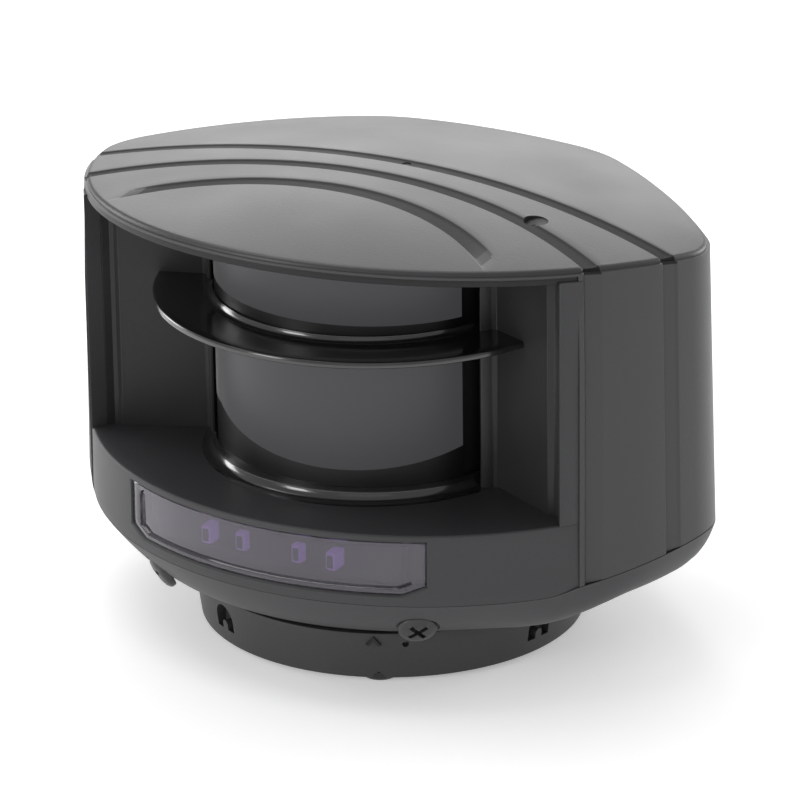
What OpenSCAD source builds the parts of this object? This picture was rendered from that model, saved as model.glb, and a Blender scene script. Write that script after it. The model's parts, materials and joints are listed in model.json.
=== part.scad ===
// Door and gate lidar scanner module: a hooded sensor head on a round swivel bracket.
// Frame: origin on the bracket's axis at its mounting face, +Z up, -Y towards the window, +X to the right.

/* [Head] */
// Height of the top of the dome above the mounting face
dome_top = 84.5; // [84:0.1:85.5]
// Radius of the domed roof
dome_r = 270; // [250:5:300]
// Distance from the bracket axis to the front lip of the hood
front_reach = 47.5; // [47:0.1:48]
// Radius of the hood's front arc
front_r = 62; // [61.5:0.1:62.5]
// Wall thickness of the hood
hood_wall = 2.0; // [1.6:0.1:2.2]
// Draft of the hood's side walls, in mm per mm of height
draft = 0.028; // [0.02:0.001:0.032]
// Depth of the decorative channels
channel_depth = 0.5; // [0.3:0.1:0.7]
// Width of the decorative channels
channel_w = 2.4; // [2:0.1:3]

/* [Window recess] */
// Height of the recess floor
floor_z = 33.3; // [33:0.1:33.6]
// Half width of the recess between its side walls
recess_half = 48.4; // [48:0.1:48.5]
// Distance of the spindle and window axis in front of the bracket axis
spindle_y = 6.2; // [6:0.1:6.4]
// Outer radius of the curved window panes
pane_r = 28; // [27.8:0.1:28.1]
// Thickness of the window panes
pane_t = 1.7; // [1.5:0.1:1.9]
// Underside height of the visor between the two panes
visor_z = 62.0; // [61.9:0.1:62.2]
// Outer radius of the visor
visor_r = 40; // [39:0.5:41]

/* [Indicator window] */
// Half width of the violet indicator window
ind_half = 30; // [28:0.5:31]
// Bottom height of the indicator window
ind_z0 = 22.3; // [22.1:0.1:22.6]
// Top height of the indicator window
ind_z1 = 31.7; // [31.2:0.1:31.9]

/* [Bracket] */
// Outer radius of the bracket at its mounting face
ring_r = 35.1; // [35:0.1:35.4]
// Height of the bracket's wall
ring_h = 9.1; // [8.8:0.1:9.2]
// Turn of the bracket's mark from the head's centre line, in degrees
ring_turn = 25; // [0:5:45]
// Radius of the wall-screw holes
screw_hole_r = 2.25; // [1.6:0.05:2.5]
// Pitch circle diameter of the wall-screw holes
screw_pcd = 35; // [34:0.5:36]
// Radius of the cable passage through the bracket's base
cable_r = 7; // [5:0.5:8]

/* [Moving parts] */
// Spindle radius
shaft_r = 2; // [1.8:0.1:2.1]
// Radial running clearance of the spindle and the tilt pins
run_gap = 0.04; // [0.02:0.01:0.08]
// Tilt pin radius
pin_r = 1.5; // [1.3:0.1:1.6]

/* [Hidden] */
e = 0.01;
sy = -spindle_y;
// The plan outline is a chain of tangent arcs from the front centre to the rear centre.
// Each entry is [radius, direction at its start, direction at its end].
ARCS = [[front_r, 0, 56, 14], [71.5, 56, 74, 4], [11.5, 74, 134, 9], [193, 134, 146, 4], [20, 146, 178, 6]];
function step(r, a, b) = r * [sin(b) - sin(a), cos(a) - cos(b)];
function arc_start(i, o) = i == 0 ? [0, -front_reach - o]
  : arc_start(i - 1, o) + step(ARCS[i - 1][0] + o, ARCS[i - 1][1], ARCS[i - 1][2]);
function half_outline(o) = concat(
  [for (i = [0:4]) for (k = [(i == 0 ? 1 : 0) : ARCS[i][3] - 1])
    arc_start(i, o) + step(ARCS[i][0] + o, ARCS[i][1], ARCS[i][1] + (ARCS[i][2] - ARCS[i][1]) * k / ARCS[i][3])],
  [arc_start(5, o)]);
rear_x = arc_start(5, 0)[0];
rear_r = rear_x / sin(178);
function outline_pts(o) = let (h = half_outline(o)) concat(
  [[0, -front_reach - o]], h,
  [arc_start(5, o) + step(rear_r + o, 178, 180)],
  [for (i = [len(h) - 1 : -1 : 0]) [-h[i][0], h[i][1]]]);
// Outward offset of the hood's wall at a height, from its draft
function off(z) = draft * (80 - z);
// Height of the parting line between hood and bottom housing at a radius from the axis
function part_z(r) = 20.6 + 0.49 * (r - 54.3);
dome_c = [0, -13, dome_top - dome_r];
arc_c = [0, 14.47, 0];      // centre of the bezel's front arc
arc_r = 62.4;
side_y = -21.4;             // the hood's side walls start behind this plane
tilt_z = 8.6;               // height of the tilt axis
foot_turn = 26.2;
foot_rad = 31.5;
screw_az = 36;              // bearing of the tilt screws from the front
screw_dip = 30;             // how far their axes point down

module outline2d(o) { polygon(outline_pts(o)); }
// A drafted block between two heights, inset by i from the hood's outer wall
module block(z0, z1, i) {
  hull() {
    translate([0, 0, z0]) linear_extrude(e) outline2d(off(z0) - i);
    translate([0, 0, z1 - e]) linear_extrude(e) outline2d(off(z1) - i);
  }
}
module dome(i) { translate(dome_c) sphere(r = dome_r - i, $fn = 96); }
// Everything below the parting cone, shifted up by d
module below_part(d) { rotate_extrude($fn = 96) polygon([[0, -20], [90, -20], [90, part_z(90) + d], [0, part_z(0) + d]]); }
module ring(ro, ri, h) { difference() { cylinder(r = ro, h = h, $fn = 96); translate([0, 0, -1]) cylinder(r = ri, h = h + 2, $fn = 96); } }
// Plan wedge in front of the window axis, a degrees to each side
module wedge(a, h) { linear_extrude(h) polygon([[0, 0], [-80 * sin(a), -80 * cos(a)], [-40, -110], [40, -110], [80 * sin(a), -80 * cos(a)]]); }
module channel(yc, r) {
  translate([0, yc, 10]) difference() {
    cylinder(r = r + channel_w / 2, h = 90, $fn = 360);
    translate([0, 0, -1]) cylinder(r = r - channel_w / 2, h = 92, $fn = 360);
  }
}
module at_screw(s) { translate([s * 27.05, -37.23, 13.3]) rotate([0, 0, s * screw_az]) rotate([90 + screw_dip, 0, 0]) children(); }
module lens_slab(x, z, y0, y1, c) { translate([0, y1, 0]) rotate([90, 0, 0]) linear_extrude(y1 - y0)
  polygon([[-x, z[1]], [x, z[1]], [x, z[0] + c * 0.45], [x - c, z[0]], [-x + c, z[0]], [-x, z[0] + c * 0.45]]); }
module screw(r, h, rs, l) { cylinder(r = r, h = h, $fn = 48); translate([0, 0, -l]) cylinder(r = rs, h = l + e, $fn = 48); }

// ---- bracket ----
module arch(w, z0, z1) { // radial arch-shaped tool
  translate([-w / 2, -45, z0]) cube([w, 20, z1 - z0 - w / 2]);
  translate([0, -25, z1 - w / 2]) rotate([90, 0, 0]) cylinder(r = w / 2, h = 20, $fn = 48);
}
module mounting_bracket() color("#3a3b3d") rotate([0, 0, ring_turn]) difference() {
  union() {
    rotate_extrude($fn = 120) polygon([[0, 0], [ring_r, 0], [ring_r + 0.137 * ring_h, ring_h], [34.9, ring_h], [33.4, 7.6], [33.4, 3], [0, 3]]);
    translate([0, 0, 2.9]) ring(27, 23.5, 0.8);
    for (k = [0:3]) rotate([0, 0, foot_turn - ring_turn + 90 * k]) translate([0, -foot_rad, 2.9]) cylinder(r = 2.6, h = 0.8, $fn = 48);
  }
  translate([0, 0, -1]) cylinder(r = cable_r, h = 6, $fn = 96);
  for (k = [0:3]) rotate([0, 0, 45 + 90 * k]) translate([0, -screw_pcd / 2, -1]) cylinder(r = screw_hole_r, h = 6, $fn = 48);
  for (k = [0:3]) rotate([0, 0, foot_turn - ring_turn + 90 * k]) translate([0, -foot_rad, 0]) {
    translate([0, 0, -1]) cylinder(r = 3.8, h = 2.5, $fn = 48);
    cylinder(r = 1.56, h = 6, $fn = 48);
  }
  // groove for the retaining ring
  translate([0, 0, 6.2]) ring(34.4, 30, 1.4);
  // arched knock-outs for side cable entry, each with its tongue left in
  for (k = [-52.5, 52.5, 127.5, 232.5]) rotate([0, 0, k]) difference() { arch(5.2, 1.6, 7.4 - 1.4); arch(2.2, 1, 4.6); }
  // arrow mark and dot
  for (s = [-1, 1]) translate([s * 0.85, -36.9, 6.2]) rotate([0, s * 32, 0]) translate([-0.25, 0, -1.5]) cube([0.5, 1.6, 3]);
  rotate([0, 0, 9]) translate([0, -35.2, 6.6]) rotate([90, 0, 0]) cylinder(r = 0.55, h = 3, $fn = 32);
}
module retaining_ring() color("#8d9094") rotate([0, 0, ring_turn + 40]) difference() {
  translate([0, 0, 6.3]) ring(34.3, 30.7, 1.2);
  translate([-4, -40, 0]) cube([8, 14, 12]);
}
module foot(k) color("#232426") rotate([0, 0, foot_turn + 90 * k]) translate([0, -foot_rad, 0]) difference() {
  union() {
    rotate_extrude($fn = 48) polygon([[0, -0.7], [3.1, -0.7], [3.5, -0.3], [3.5, 0.9], [0, 0.9]]);
    cylinder(r = 1.5, h = 3.2, $fn = 48);
  }
  translate([-2.2, -0.4, -1]) cube([4.4, 0.8, 0.9]);
}
module foot_front() { foot(0); }
module foot_right() { foot(1); }
module foot_rear() { foot(2); }
module foot_left() { foot(3); }

// ---- swivel ----
module swivel_plate() color("#4a4c4f") difference() {
  union() {
    translate([0, 0, 4]) ring(33.1, 23, 2);
    for (s = [-1, 1]) translate([s * 25.4 - 1.5, -4.5, 5.9]) cube([3, 9, tilt_z - 5.9]);
    for (s = [-1, 1]) translate([s * 25.4 - 1.5, 0, tilt_z]) rotate([0, 90, 0]) cylinder(r = 2.1, h = 3, $fn = 48);
  }
  for (s = [-1, 1]) translate([s * 25.4 - 3, 0, tilt_z]) rotate([0, 90, 0]) cylinder(r = pin_r, h = 6, $fn = 48);
}
module tilt_pins() color("#b8babd") for (s = [-1, 1]) translate([s > 0 ? 23.9 : -29.8, 0, tilt_z]) rotate([0, 90, 0]) cylinder(r = pin_r, h = 5.9, $fn = 48);

// ---- head: shells ----
BOSS = [[-14.5, -22.5], [14.5, -22.5], [-25, 30], [25, 30]];
module bottom_housing() color("#3f4043") difference() {
  union() {
    // dished shell
    difference() {
      intersection() {
        translate([0, 0, 9]) linear_extrude(30) outline2d(1.6);
        rotate_extrude($fn = 120) polygon([[0, 11.4], [37.3, 11.4], [37.3, 9.2], [38.6, 9.2], [38.6, 11], [45, 11.9], [50, 13.4], [54, 15.8], [58, 19.6], [61, 23], [64, 27], [90, 60], [0, 60]]);
        union() {
          intersection() {
            translate([arc_c[0], arc_c[1], 0]) rotate_extrude($fn = 180) polygon([[0, 5], [53, 5], [53, 10.6], [56.5, 11.8], [59.8, 14], [61.6, 17], [arc_r - 0.15, 19.9], [0, 19.9]]);
            translate([-80, -100, 0]) cube([160, 100 + side_y + 0.1, 60]);
          }
          intersection() { translate([-80, side_y, 0]) cube([160, 80, 60]); below_part(-0.1); }
        }
      }
      intersection() {
        translate([0, 0, 9]) linear_extrude(40) outline2d(-0.8);
        rotate_extrude($fn = 120) polygon([[0, 13.6], [38, 13.6], [45, 14.3], [49, 15.6], [53, 18], [57, 21.8], [60, 25.4], [63, 30], [90, 60], [0, 60]]);
        union() {
          translate([arc_c[0], arc_c[1], 0]) cylinder(r = arc_r - 2.5, h = 60, $fn = 180);
          translate([-80, side_y, 0]) cube([160, 80, 60]);
        }
      }
    }
    // flat floor disc
    translate([0, 0, 11.4]) cylinder(r = 38.2, h = 2.2, $fn = 120);
    // lugs for the tilt pins
    for (s = [-1, 1]) {
      translate([s * 28.5 - 1.3, -4.2, tilt_z]) cube([2.6, 8.4, 11.6 - tilt_z]);
      translate([s * 28.5 - 1.3, 0, tilt_z]) rotate([0, 90, 0]) cylinder(r = 2.1, h = 2.6, $fn = 48);
    }
    // bosses for the optical chassis
    for (p = BOSS) translate([p[0], p[1], 12]) cylinder(r = 3.4, h = 17.4, $fn = 48);
    // bosses for the tilt screws, trimmed to the inside of the dish
    intersection() {
      for (s = [-1, 1]) at_screw(s) translate([0, 0, -9]) cylinder(r = 4.9, h = 8.4, $fn = 48);
      rotate_extrude($fn = 120) polygon([[0, 11.4], [38.6, 11.4], [38.6, 11], [45, 11.9], [50, 13.4], [54, 15.8], [90, 60], [0, 60]]);
    }
  }
  // sloping lower rim: lowest at the tilt axis, raised to front and rear so the head can tilt
  translate([-50, 0, 0]) rotate([90, 0, 90]) linear_extrude(100)
    polygon([[-60, 9.4 + 3.36], [-60, -5], [60, -5], [60, 9.4 + 3.36], [5, 9.68], [5, 6], [-5, 6], [-5, 9.68]]);
  for (s = [-1, 1]) translate([s * 28.5 - 3, 0, tilt_z]) rotate([0, 90, 0]) cylinder(r = pin_r + run_gap, h = 6, $fn = 48);
  for (p = BOSS) translate([p[0], p[1], 19.4]) cylinder(r = 1.25, h = 14, $fn = 48);
  // socket opening
  translate([0, 18.4, 8]) cylinder(r = 7, h = 8, $fn = 64);
  for (s = [-1, 1]) at_screw(s) {
    translate([0, 0, -1.6]) cylinder(r = 3.8, h = 9, $fn = 64);
    translate([0, 0, -12]) cylinder(r = 2 + run_gap, h = 14, $fn = 64);
  }
}
module front_bezel() color("#3f4043") difference() {
  intersection() {
    union() {
      // curved front band and the corner pillars
      difference() {
        intersection() {
          translate([arc_c[0], arc_c[1], 20]) cylinder(r = arc_r, h = 62, $fn = 180);
          translate([-51.3, -60, 20]) cube([102.6, 60 + side_y - 0.15, 62]);
        }
        intersection() {
          translate([arc_c[0], arc_c[1], 19]) cylinder(r = arc_r - 2.3, h = floor_z + 0.3 - 1.8 - 19, $fn = 180);
          translate([-48.6, -60, 0]) cube([97.2, 60, 90]);
        }
        translate([-recess_half, -60, floor_z]) cube([2 * recess_half, 60, 90]);
      }
      // floor of the recess and its two splayed walls
      intersection() {
        union() {
          translate([-48.5, -60, floor_z - 1.5]) cube([97, 50, 1.5]);
          for (s = [-1, 1]) linear_extrude(82) polygon([[s * 52, -26.4], [s * 48.6, -24.9], [s * 46.6, -22.4], [s * 46.2, -20.9], [s * 44.2, -19.9], [s * 43.9, -20.9], [s * 29.5, -14], [s * 27.5, -12.9], [s * 27.5, -10.6], [s * 52, -22.6]]);
        }
        translate([-80, -80, floor_z - 1.5]) cube([160, 100, 60]);
        block(25, 82, hood_wall + 0.3);
        union() {
          translate([arc_c[0], arc_c[1], 0]) cylinder(r = arc_r - 1, h = 90, $fn = 180);
          translate([-80, side_y, 0]) cube([160, 80, 90]);
        }
      }
      // stand-offs for the indicator board
      for (s = [-1, 1]) translate([s * 20 - 2, -37, 22]) cube([4, 2.5, 10.5]);
    }
    dome(3.1);
  }
  // round opening for the window drum
  translate([0, sy, 28]) cylinder(r = pane_r + 0.9, h = 70, $fn = 96);
  translate([0, sy, 33.5]) cylinder(r = 30.5, h = 60, $fn = 96);
  // aperture for the indicator window
  lens_slab(ind_half + 0.12, [ind_z0 - 0.12, ind_z1 + 0.12], -55, -30, 3.6);
}
module hood() color("#57585a") difference() {
  intersection() { block(10, 92, 0); dome(0); }
  intersection() { block(9, 91, hood_wall); dome(hood_wall); }
  below_part(0);
  // open front below the lip
  intersection() { translate([-70, -70, 0]) cube([140, 70 + side_y, 90]); dome(2.8); }
  // three curved channels; the rear two run down the side walls
  difference() {
    union() { channel(-214.8, 218.2); channel(-110.5, 105); }
    intersection() { block(9, 91, channel_depth); dome(channel_depth); }
  }
  difference() {
    intersection() { channel(-72.3, 56.8); translate([-36, -40, 60]) cube([72, 40, 40]); }
    dome(channel_depth);
  }
}
module housing_seal() color("#151515") difference() {
  intersection() {
    translate([0, 0, 9]) linear_extrude(40) outline2d(off(22) - hood_wall - 0.1);
    translate([-80, side_y + 0.4, 0]) cube([160, 80, 60]);
    below_part(0.75);
  }
  translate([0, 0, 8]) linear_extrude(42) outline2d(off(22) - hood_wall - 1.5);
  below_part(-0.05);
}
module visor() color("#1e1e20") difference() {
  translate([0, -4.55, visor_z]) cylinder(r = visor_r, h = 1.3, $fn = 180);
  translate([-60, -4.45, 50]) cube([120, 60, 30]);
  translate([0, sy, 50]) cylinder(r = pane_r + 0.1, h = 30, $fn = 96);
  // ends trimmed at the splayed walls of the recess
  for (s = [-1, 1]) translate([0, 0, 50]) linear_extrude(30) polygon([[s * 27, -13], [s * 29.5, -14.2], [s * 43.9, -21.1], [s * 60, -29], [s * 60, 0], [s * 27, 0]]);
  // notches round the window posts
  translate([0, sy, 50]) difference() { cylinder(r = 30.6, h = 30, $fn = 96); translate([0, 0, -1]) wedge(66, 32); }
}
module pane(z0, z1) translate([0, sy, z0]) intersection() { ring(pane_r, pane_r - pane_t, z1 - z0); wedge(66, z1 - z0); }
module pane_lower() color("#4a4a4d", 0.8) pane(34, 61.9);
module pane_upper() color("#4a4a4d", 0.8) pane(63.4, 79.3);
module window_frame() color("#1c1c1e") difference() {
  translate([0, sy, 0]) union() {
    translate([0, 0, 31.6]) ring(28.7, 25.4, 2.3);
    translate([0, 0, 61.98]) ring(27.9, 25.4, 1.34);
    translate([0, 0, 79.4]) ring(28.7, 25.4, 1.1);
    difference() { translate([0, 0, 31.6]) ring(28.7, 25.4, 48.9); wedge(66.4, 90); }
    difference() { translate([0, 0, 33.6]) ring(30.4, 27, 44); wedge(66.4, 90); translate([-40, 1.7, 0]) cube([80, 60, 90]); }
  }
  translate([-60, -2.4, 0]) cube([120, 60, 100]);
}
module window_mask() color("#141414") for (z = [[34.1, 38.8], [63.5, 65.9]]) translate([0, sy, z[0]]) intersection() {
  ring(pane_r - pane_t - 0.05, pane_r - pane_t - 0.65, z[1] - z[0]); wedge(66, z[1] - z[0]); }

// ---- head: indicator ----
module indicator_window() color("#7d6f8c", 0.75) intersection() {
  lens_slab(ind_half, [ind_z0, ind_z1], -55, -30, 3.6);
  translate([arc_c[0], arc_c[1], 0]) difference() { cylinder(r = arc_r - 0.15, h = 40, $fn = 180); translate([0, 0, -1]) cylinder(r = arc_r - 2.2, h = 42, $fn = 180); }
}
module indicator_board() color("#1d5a37") translate([-25, -38.6, 21.6]) cube([50, 1.6, 9.6]);
module indicator_leds() color("#8e7fb0") for (x = [-12.65, -5.7, 5.7, 12.65]) translate([x - 1, -42.4, 24.4]) {
  cube([2, 3.0, 3.4]); translate([-0.6, 3.0, -0.4]) cube([3.2, 0.8, 4.2]); }

// ---- head: optics and drive ----
module optical_chassis() color("#9a9da1") difference() {
  union() {
    translate([0, sy, 29.4]) cylinder(r = 25.2, h = 2, $fn = 96);
    translate([0, 0, 29.4]) linear_extrude(2) polygon([[-36, 0.5], [36, 0.5], [36, 27.5], [24, 34.5], [-24, 34.5], [-36, 27.5]]);
    // bridge over the receiver that carries the laser
    for (s = [-1, 1]) translate([s * 17.2 - 2, 16, 31.3]) cube([4, 13, 31]);
    translate([-19.2, 19.4, 62.2]) cube([38.4, 9.6, 2]);
    translate([0, sy, 18]) cylinder(r = 6.4, h = 12, $fn = 64);
    for (s = [-1, 1]) translate([s * 26.5 - 3, 4, 31.3]) cube([6, 9, 45.8]);
    translate([-29.5, 4, 77]) cube([59, 9, 2]);
    translate([0, 0, 77]) linear_extrude(2) polygon([[-20, 5], [20, 5], [7, sy], [-7, sy]]);
    translate([0, sy, 75.5]) cylinder(r = 7.5, h = 3.5, $fn = 64);
  }
  translate([0, sy, 10]) cylinder(r = 3.2, h = 30, $fn = 64);
  translate([0, sy, 27.4]) cylinder(r = 5.5, h = 5, $fn = 64);
  translate([0, sy, 75]) cylinder(r = 5.5, h = 6, $fn = 64);
  for (p = BOSS) translate([p[0], p[1], 28]) cylinder(r = 1.7, h = 5, $fn = 48);
  // cable slot
  translate([-8, 22, 28]) cube([16, 6, 5]);
}
module bearing(z, w) color("#c4c6c9") translate([0, sy, z]) difference() {
  ring(5.5, shaft_r + run_gap, w);
  for (k = [-0.01, w - 0.34]) translate([0, 0, k]) ring(4.7, 3.1, 0.35);
}
module lower_bearing() { bearing(27.4, 4); }
module upper_bearing() { bearing(75, 4); }
module stator_core() color("#6f7276") translate([0, sy, 18.6]) difference() {
  ring(12.7, 6.4, 6);
  for (k = [0:8]) rotate([0, 0, 40 * k]) translate([0, -10.1, -1]) { cylinder(r = 1.25, h = 8, $fn = 32); translate([-0.4, -4, 0]) cube([0.8, 4, 8]); }
}
module stator_coils() color("#b06a35") translate([0, sy, 0]) for (k = [0:8]) rotate([0, 0, 20 + 40 * k]) translate([-1.5, -11.2, 0]) {
  translate([0, 0, 17.9]) cube([3, 3.2, 0.7]); translate([0, 0, 24.6]) cube([3, 3.2, 0.7]); }
module motor_board() color("#1d5a37") translate([0, sy, 26.2]) ring(17, 6.5, 1.2);
module encoder_sensor() color("#26272a") translate([-4, 7.6, 31.4]) difference() { cube([8, 6, 5]); translate([-1, -1, 1.6]) cube([10, 4.4, 1.4]); }
module receiver_barrel() color("#2b2c2f") difference() {
  union() {
    translate([0, 33, 47.5]) rotate([90, 0, 0]) cylinder(r = 13.6, h = 18.6, $fn = 96);
    translate([-9, 16, 31.4]) cube([18, 15, 6]);
  }
  translate([0, 17.4, 47.5]) rotate([90, 0, 0]) cylinder(r = 12.6, h = 8, $fn = 96);
  translate([0, 40, 47.5]) rotate([90, 0, 0]) cylinder(r = 5, h = 30, $fn = 64);
  translate([0, 26, 47.5]) rotate([90, 0, 0]) cylinder(r1 = 6, r2 = 11.6, h = 8.7, $fn = 96);
  translate([0, 30.1, 47.5]) rotate([90, 0, 0]) cylinder(r = 6.6, h = 1.2, $fn = 64);
}
module receiver_lens() color("#b9c6cf", 0.6) intersection() {
  translate([0, 17.4, 47.5]) rotate([90, 0, 0]) cylinder(r = 12.5, h = 6, $fn = 96);
  translate([0, 37, 47.5]) sphere(r = 24.5, $fn = 96);
}
module bandpass_filter() color("#7a2f3c", 0.7) translate([0, 30, 47.5]) rotate([90, 0, 0]) cylinder(r = 6.5, h = 1, $fn = 64);
module photodiode() color("#a9abae") translate([0, 34.9, 47.5]) rotate([90, 0, 0]) cylinder(r = 3, h = 2.6, $fn = 48);
module receiver_board() color("#1d5a37") difference() { translate([-16, 34.9, 33]) cube([32, 1.5, 42]); for (x = [-13, 13]) for (z = [36, 72]) translate([x, 40, z]) rotate([90, 0, 0]) cylinder(r = 1.3, h = 10, $fn = 32); }
module laser_holder() color("#8f9296") difference() {
  translate([-9, 14, 64.2]) cube([18, 15, 12.1]);
  translate([0, 40, 70.2]) rotate([90, 0, 0]) cylinder(r = 4.5, h = 40, $fn = 64);
}
module laser_diode() color("#b58a3c") { translate([0, 31, 70.2]) rotate([90, 0, 0]) cylinder(r = 4.4, h = 11, $fn = 64);
  for (x = [-1.3, 1.3]) translate([x, 34.9, 70.2]) rotate([90, 0, 0]) cylinder(r = 0.35, h = 4, $fn = 24); }
module collimator_lens() color("#b9c6cf", 0.6) intersection() {
  translate([0, 19, 70.2]) rotate([90, 0, 0]) cylinder(r = 4.4, h = 5, $fn = 64);
  translate([0, 25.5, 70.2]) sphere(r = 10.5, $fn = 64);
}
module main_board() color("#1d5a37") translate([-35.1, 1, 31.4]) cube([1.6, 26, 41]);
module power_board() color("#1d5a37") translate([33.5, 1, 31.4]) cube([1.6, 26, 37]);
module board_components() color("#222326") {
  for (q = [[4, 38, 11], [5, 54, 9], [17, 36, 7]]) translate([-36.4, q[0], q[1]]) cube([1.3, q[2], q[2]]);
  translate([-36.8, 18, 52]) cube([1.7, 6, 12]);
  for (z = [38, 50]) translate([35.1, 7, z]) rotate([0, 90, 0]) cylinder(r = 4, h = 3.2, $fn = 48);
  translate([35.1, 15, 36]) cube([2.6, 10, 9]);
  translate([35.1, 16, 50]) cube([1.5, 7, 14]);
}
module interface_board() color("#1d5a37") translate([-18, 11.4, 21]) cube([36, 22, 1.6]);
module cable_socket() color("#dcdcd6") difference() {
  union() { translate([0, 18.4, 9.9]) cylinder(r = 6.8, h = 11.1, $fn = 64); translate([0, 18.4, 13.6]) cylinder(r = 8, h = 1.6, $fn = 64); }
  translate([-4.4, 15.5, 9]) cube([8.8, 5.8, 7]);
}
module ribbon_cable() color("#c9c9c4") translate([0, 0, 50]) linear_extrude(8)
  polygon([[-33.5, 24], [-29, 24], [-20.2, 31.5], [-16.2, 31.5], [-14, 34.9], [-14.6, 34.9], [-16.6, 31.9], [-20.4, 31.9], [-29.2, 24.4], [-33.5, 24.4]]);
module chassis_screws() color("#b8babd") for (p = BOSS) translate([p[0], p[1], 31.4]) difference() { screw(2.6, 1.5, 1.2, 10);
  for (a = [0, 90]) rotate([0, 0, a]) translate([-1.4, -0.25, 0.7]) cube([2.8, 0.5, 2]); }

// ---- rotor ----
module spindle() color("#c4c6c9") translate([0, sy, 14.6]) cylinder(r = shaft_r, h = 64.2, $fn = 64);
module rotor_cup() color("#84878b") translate([0, sy, 14.6]) {
  difference() {
    union() { cylinder(r = 15.6, h = 1.2, $fn = 96); cylinder(r = 4.6, h = 2.6, $fn = 64); ring(15.6, 14.2, 10.8); }
    translate([0, 0, -1]) cylinder(r = shaft_r, h = 8, $fn = 64);
  }
}
module rotor_magnet() color("#3a3532") translate([0, sy, 16.6]) ring(14.2, 13.2, 8);
module encoder_disc() color("#d5d7d9") translate([0, sy, 0]) difference() {
  union() { translate([0, 0, 31.8]) cylinder(r = 4.5, h = 1.8, $fn = 64); translate([0, 0, 33.5]) cylinder(r = 16.6, h = 0.6, $fn = 96); }
  translate([0, 0, 30]) cylinder(r = shaft_r, h = 6, $fn = 64);
  for (k = [0:11]) rotate([0, 0, 30 * k]) translate([-0.8, -15.6, 33]) cube([1.6, 2.6, 2]);
}
module mirror_hub() color("#2b2c2f") translate([0, sy, 0]) difference() {
  union() {
    translate([-12, -12, 37]) cube([24, 24, 23.6]);
    translate([0, 0, 60.5]) cylinder(r = 5, h = 3.4, $fn = 64);
    translate([-9, -9, 63.8]) cube([18, 18, 10.4]);
  }
  translate([0, 0, 30]) cylinder(r = shaft_r, h = 50, $fn = 64);
}
// Each facet leans out a little more than the last, which gives the module its separate scan planes.
module mirror_facets() color("#dfe6ea") translate([0, sy, 0]) for (k = [0:3]) rotate([0, 0, 90 * k]) {
  translate([0, -12, 37.2]) rotate([1.2 * k, 0, 0]) translate([-12, -1.1, 0]) cube([24, 1, 23]);
  translate([0, -9, 64]) rotate([1.2 * k, 0, 0]) translate([-9, -1.1, 0]) cube([18, 1, 10]);
}
module separator_disc() color("#1c1c1e") translate([0, sy, 61.6]) ring(24.6, 5, 1.2);

// ---- tilt screws ----
module tilt_screw(s) color("#2b2c2e") at_screw(s) difference() {
  union() {
    intersection() { translate([0, 0, -1.5]) cylinder(r = 3.45, h = 1.6, $fn = 64); translate([0, 0, -5.4]) sphere(r = 5.5, $fn = 64); }
    translate([0, 0, -9.4]) cylinder(r = 2, h = 8, $fn = 64);
  }
  for (a = [0, 90]) rotate([0, 0, a]) translate([-1.7, -0.32, -0.9]) cube([3.4, 0.64, 2]);
}
module tilt_screw_left() { tilt_screw(-1); }
module tilt_screw_right() { tilt_screw(1); }

mounting_bracket();
retaining_ring();
foot_front();
foot_right();
foot_rear();
foot_left();
swivel_plate();
tilt_pins();
bottom_housing();
front_bezel();
hood();
housing_seal();
visor();
pane_lower();
pane_upper();
window_frame();
window_mask();
indicator_window();
indicator_board();
indicator_leds();
optical_chassis();
lower_bearing();
upper_bearing();
stator_core();
stator_coils();
motor_board();
encoder_sensor();
receiver_barrel();
receiver_lens();
bandpass_filter();
photodiode();
receiver_board();
laser_holder();
laser_diode();
collimator_lens();
main_board();
power_board();
board_components();
interface_board();
cable_socket();
ribbon_cable();
chassis_screws();
spindle();
rotor_cup();
rotor_magnet();
encoder_disc();
mirror_hub();
mirror_facets();
separator_disc();
tilt_screw_left();
tilt_screw_right();
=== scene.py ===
import bpy
import json
import math
from mathutils import Matrix, Vector


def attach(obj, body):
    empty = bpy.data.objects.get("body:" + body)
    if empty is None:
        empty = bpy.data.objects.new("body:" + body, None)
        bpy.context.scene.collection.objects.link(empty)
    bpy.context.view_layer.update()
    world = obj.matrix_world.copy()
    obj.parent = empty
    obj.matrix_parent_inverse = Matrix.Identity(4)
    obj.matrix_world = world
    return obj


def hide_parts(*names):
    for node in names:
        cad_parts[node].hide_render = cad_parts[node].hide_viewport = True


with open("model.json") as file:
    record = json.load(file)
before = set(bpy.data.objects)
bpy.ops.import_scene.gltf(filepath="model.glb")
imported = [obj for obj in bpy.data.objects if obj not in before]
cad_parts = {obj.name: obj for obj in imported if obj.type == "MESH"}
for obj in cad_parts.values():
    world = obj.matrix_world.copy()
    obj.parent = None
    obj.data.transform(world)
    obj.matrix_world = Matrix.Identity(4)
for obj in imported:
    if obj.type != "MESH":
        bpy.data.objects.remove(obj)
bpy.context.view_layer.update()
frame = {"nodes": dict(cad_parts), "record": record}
K = 0.001
D = math.radians


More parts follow.
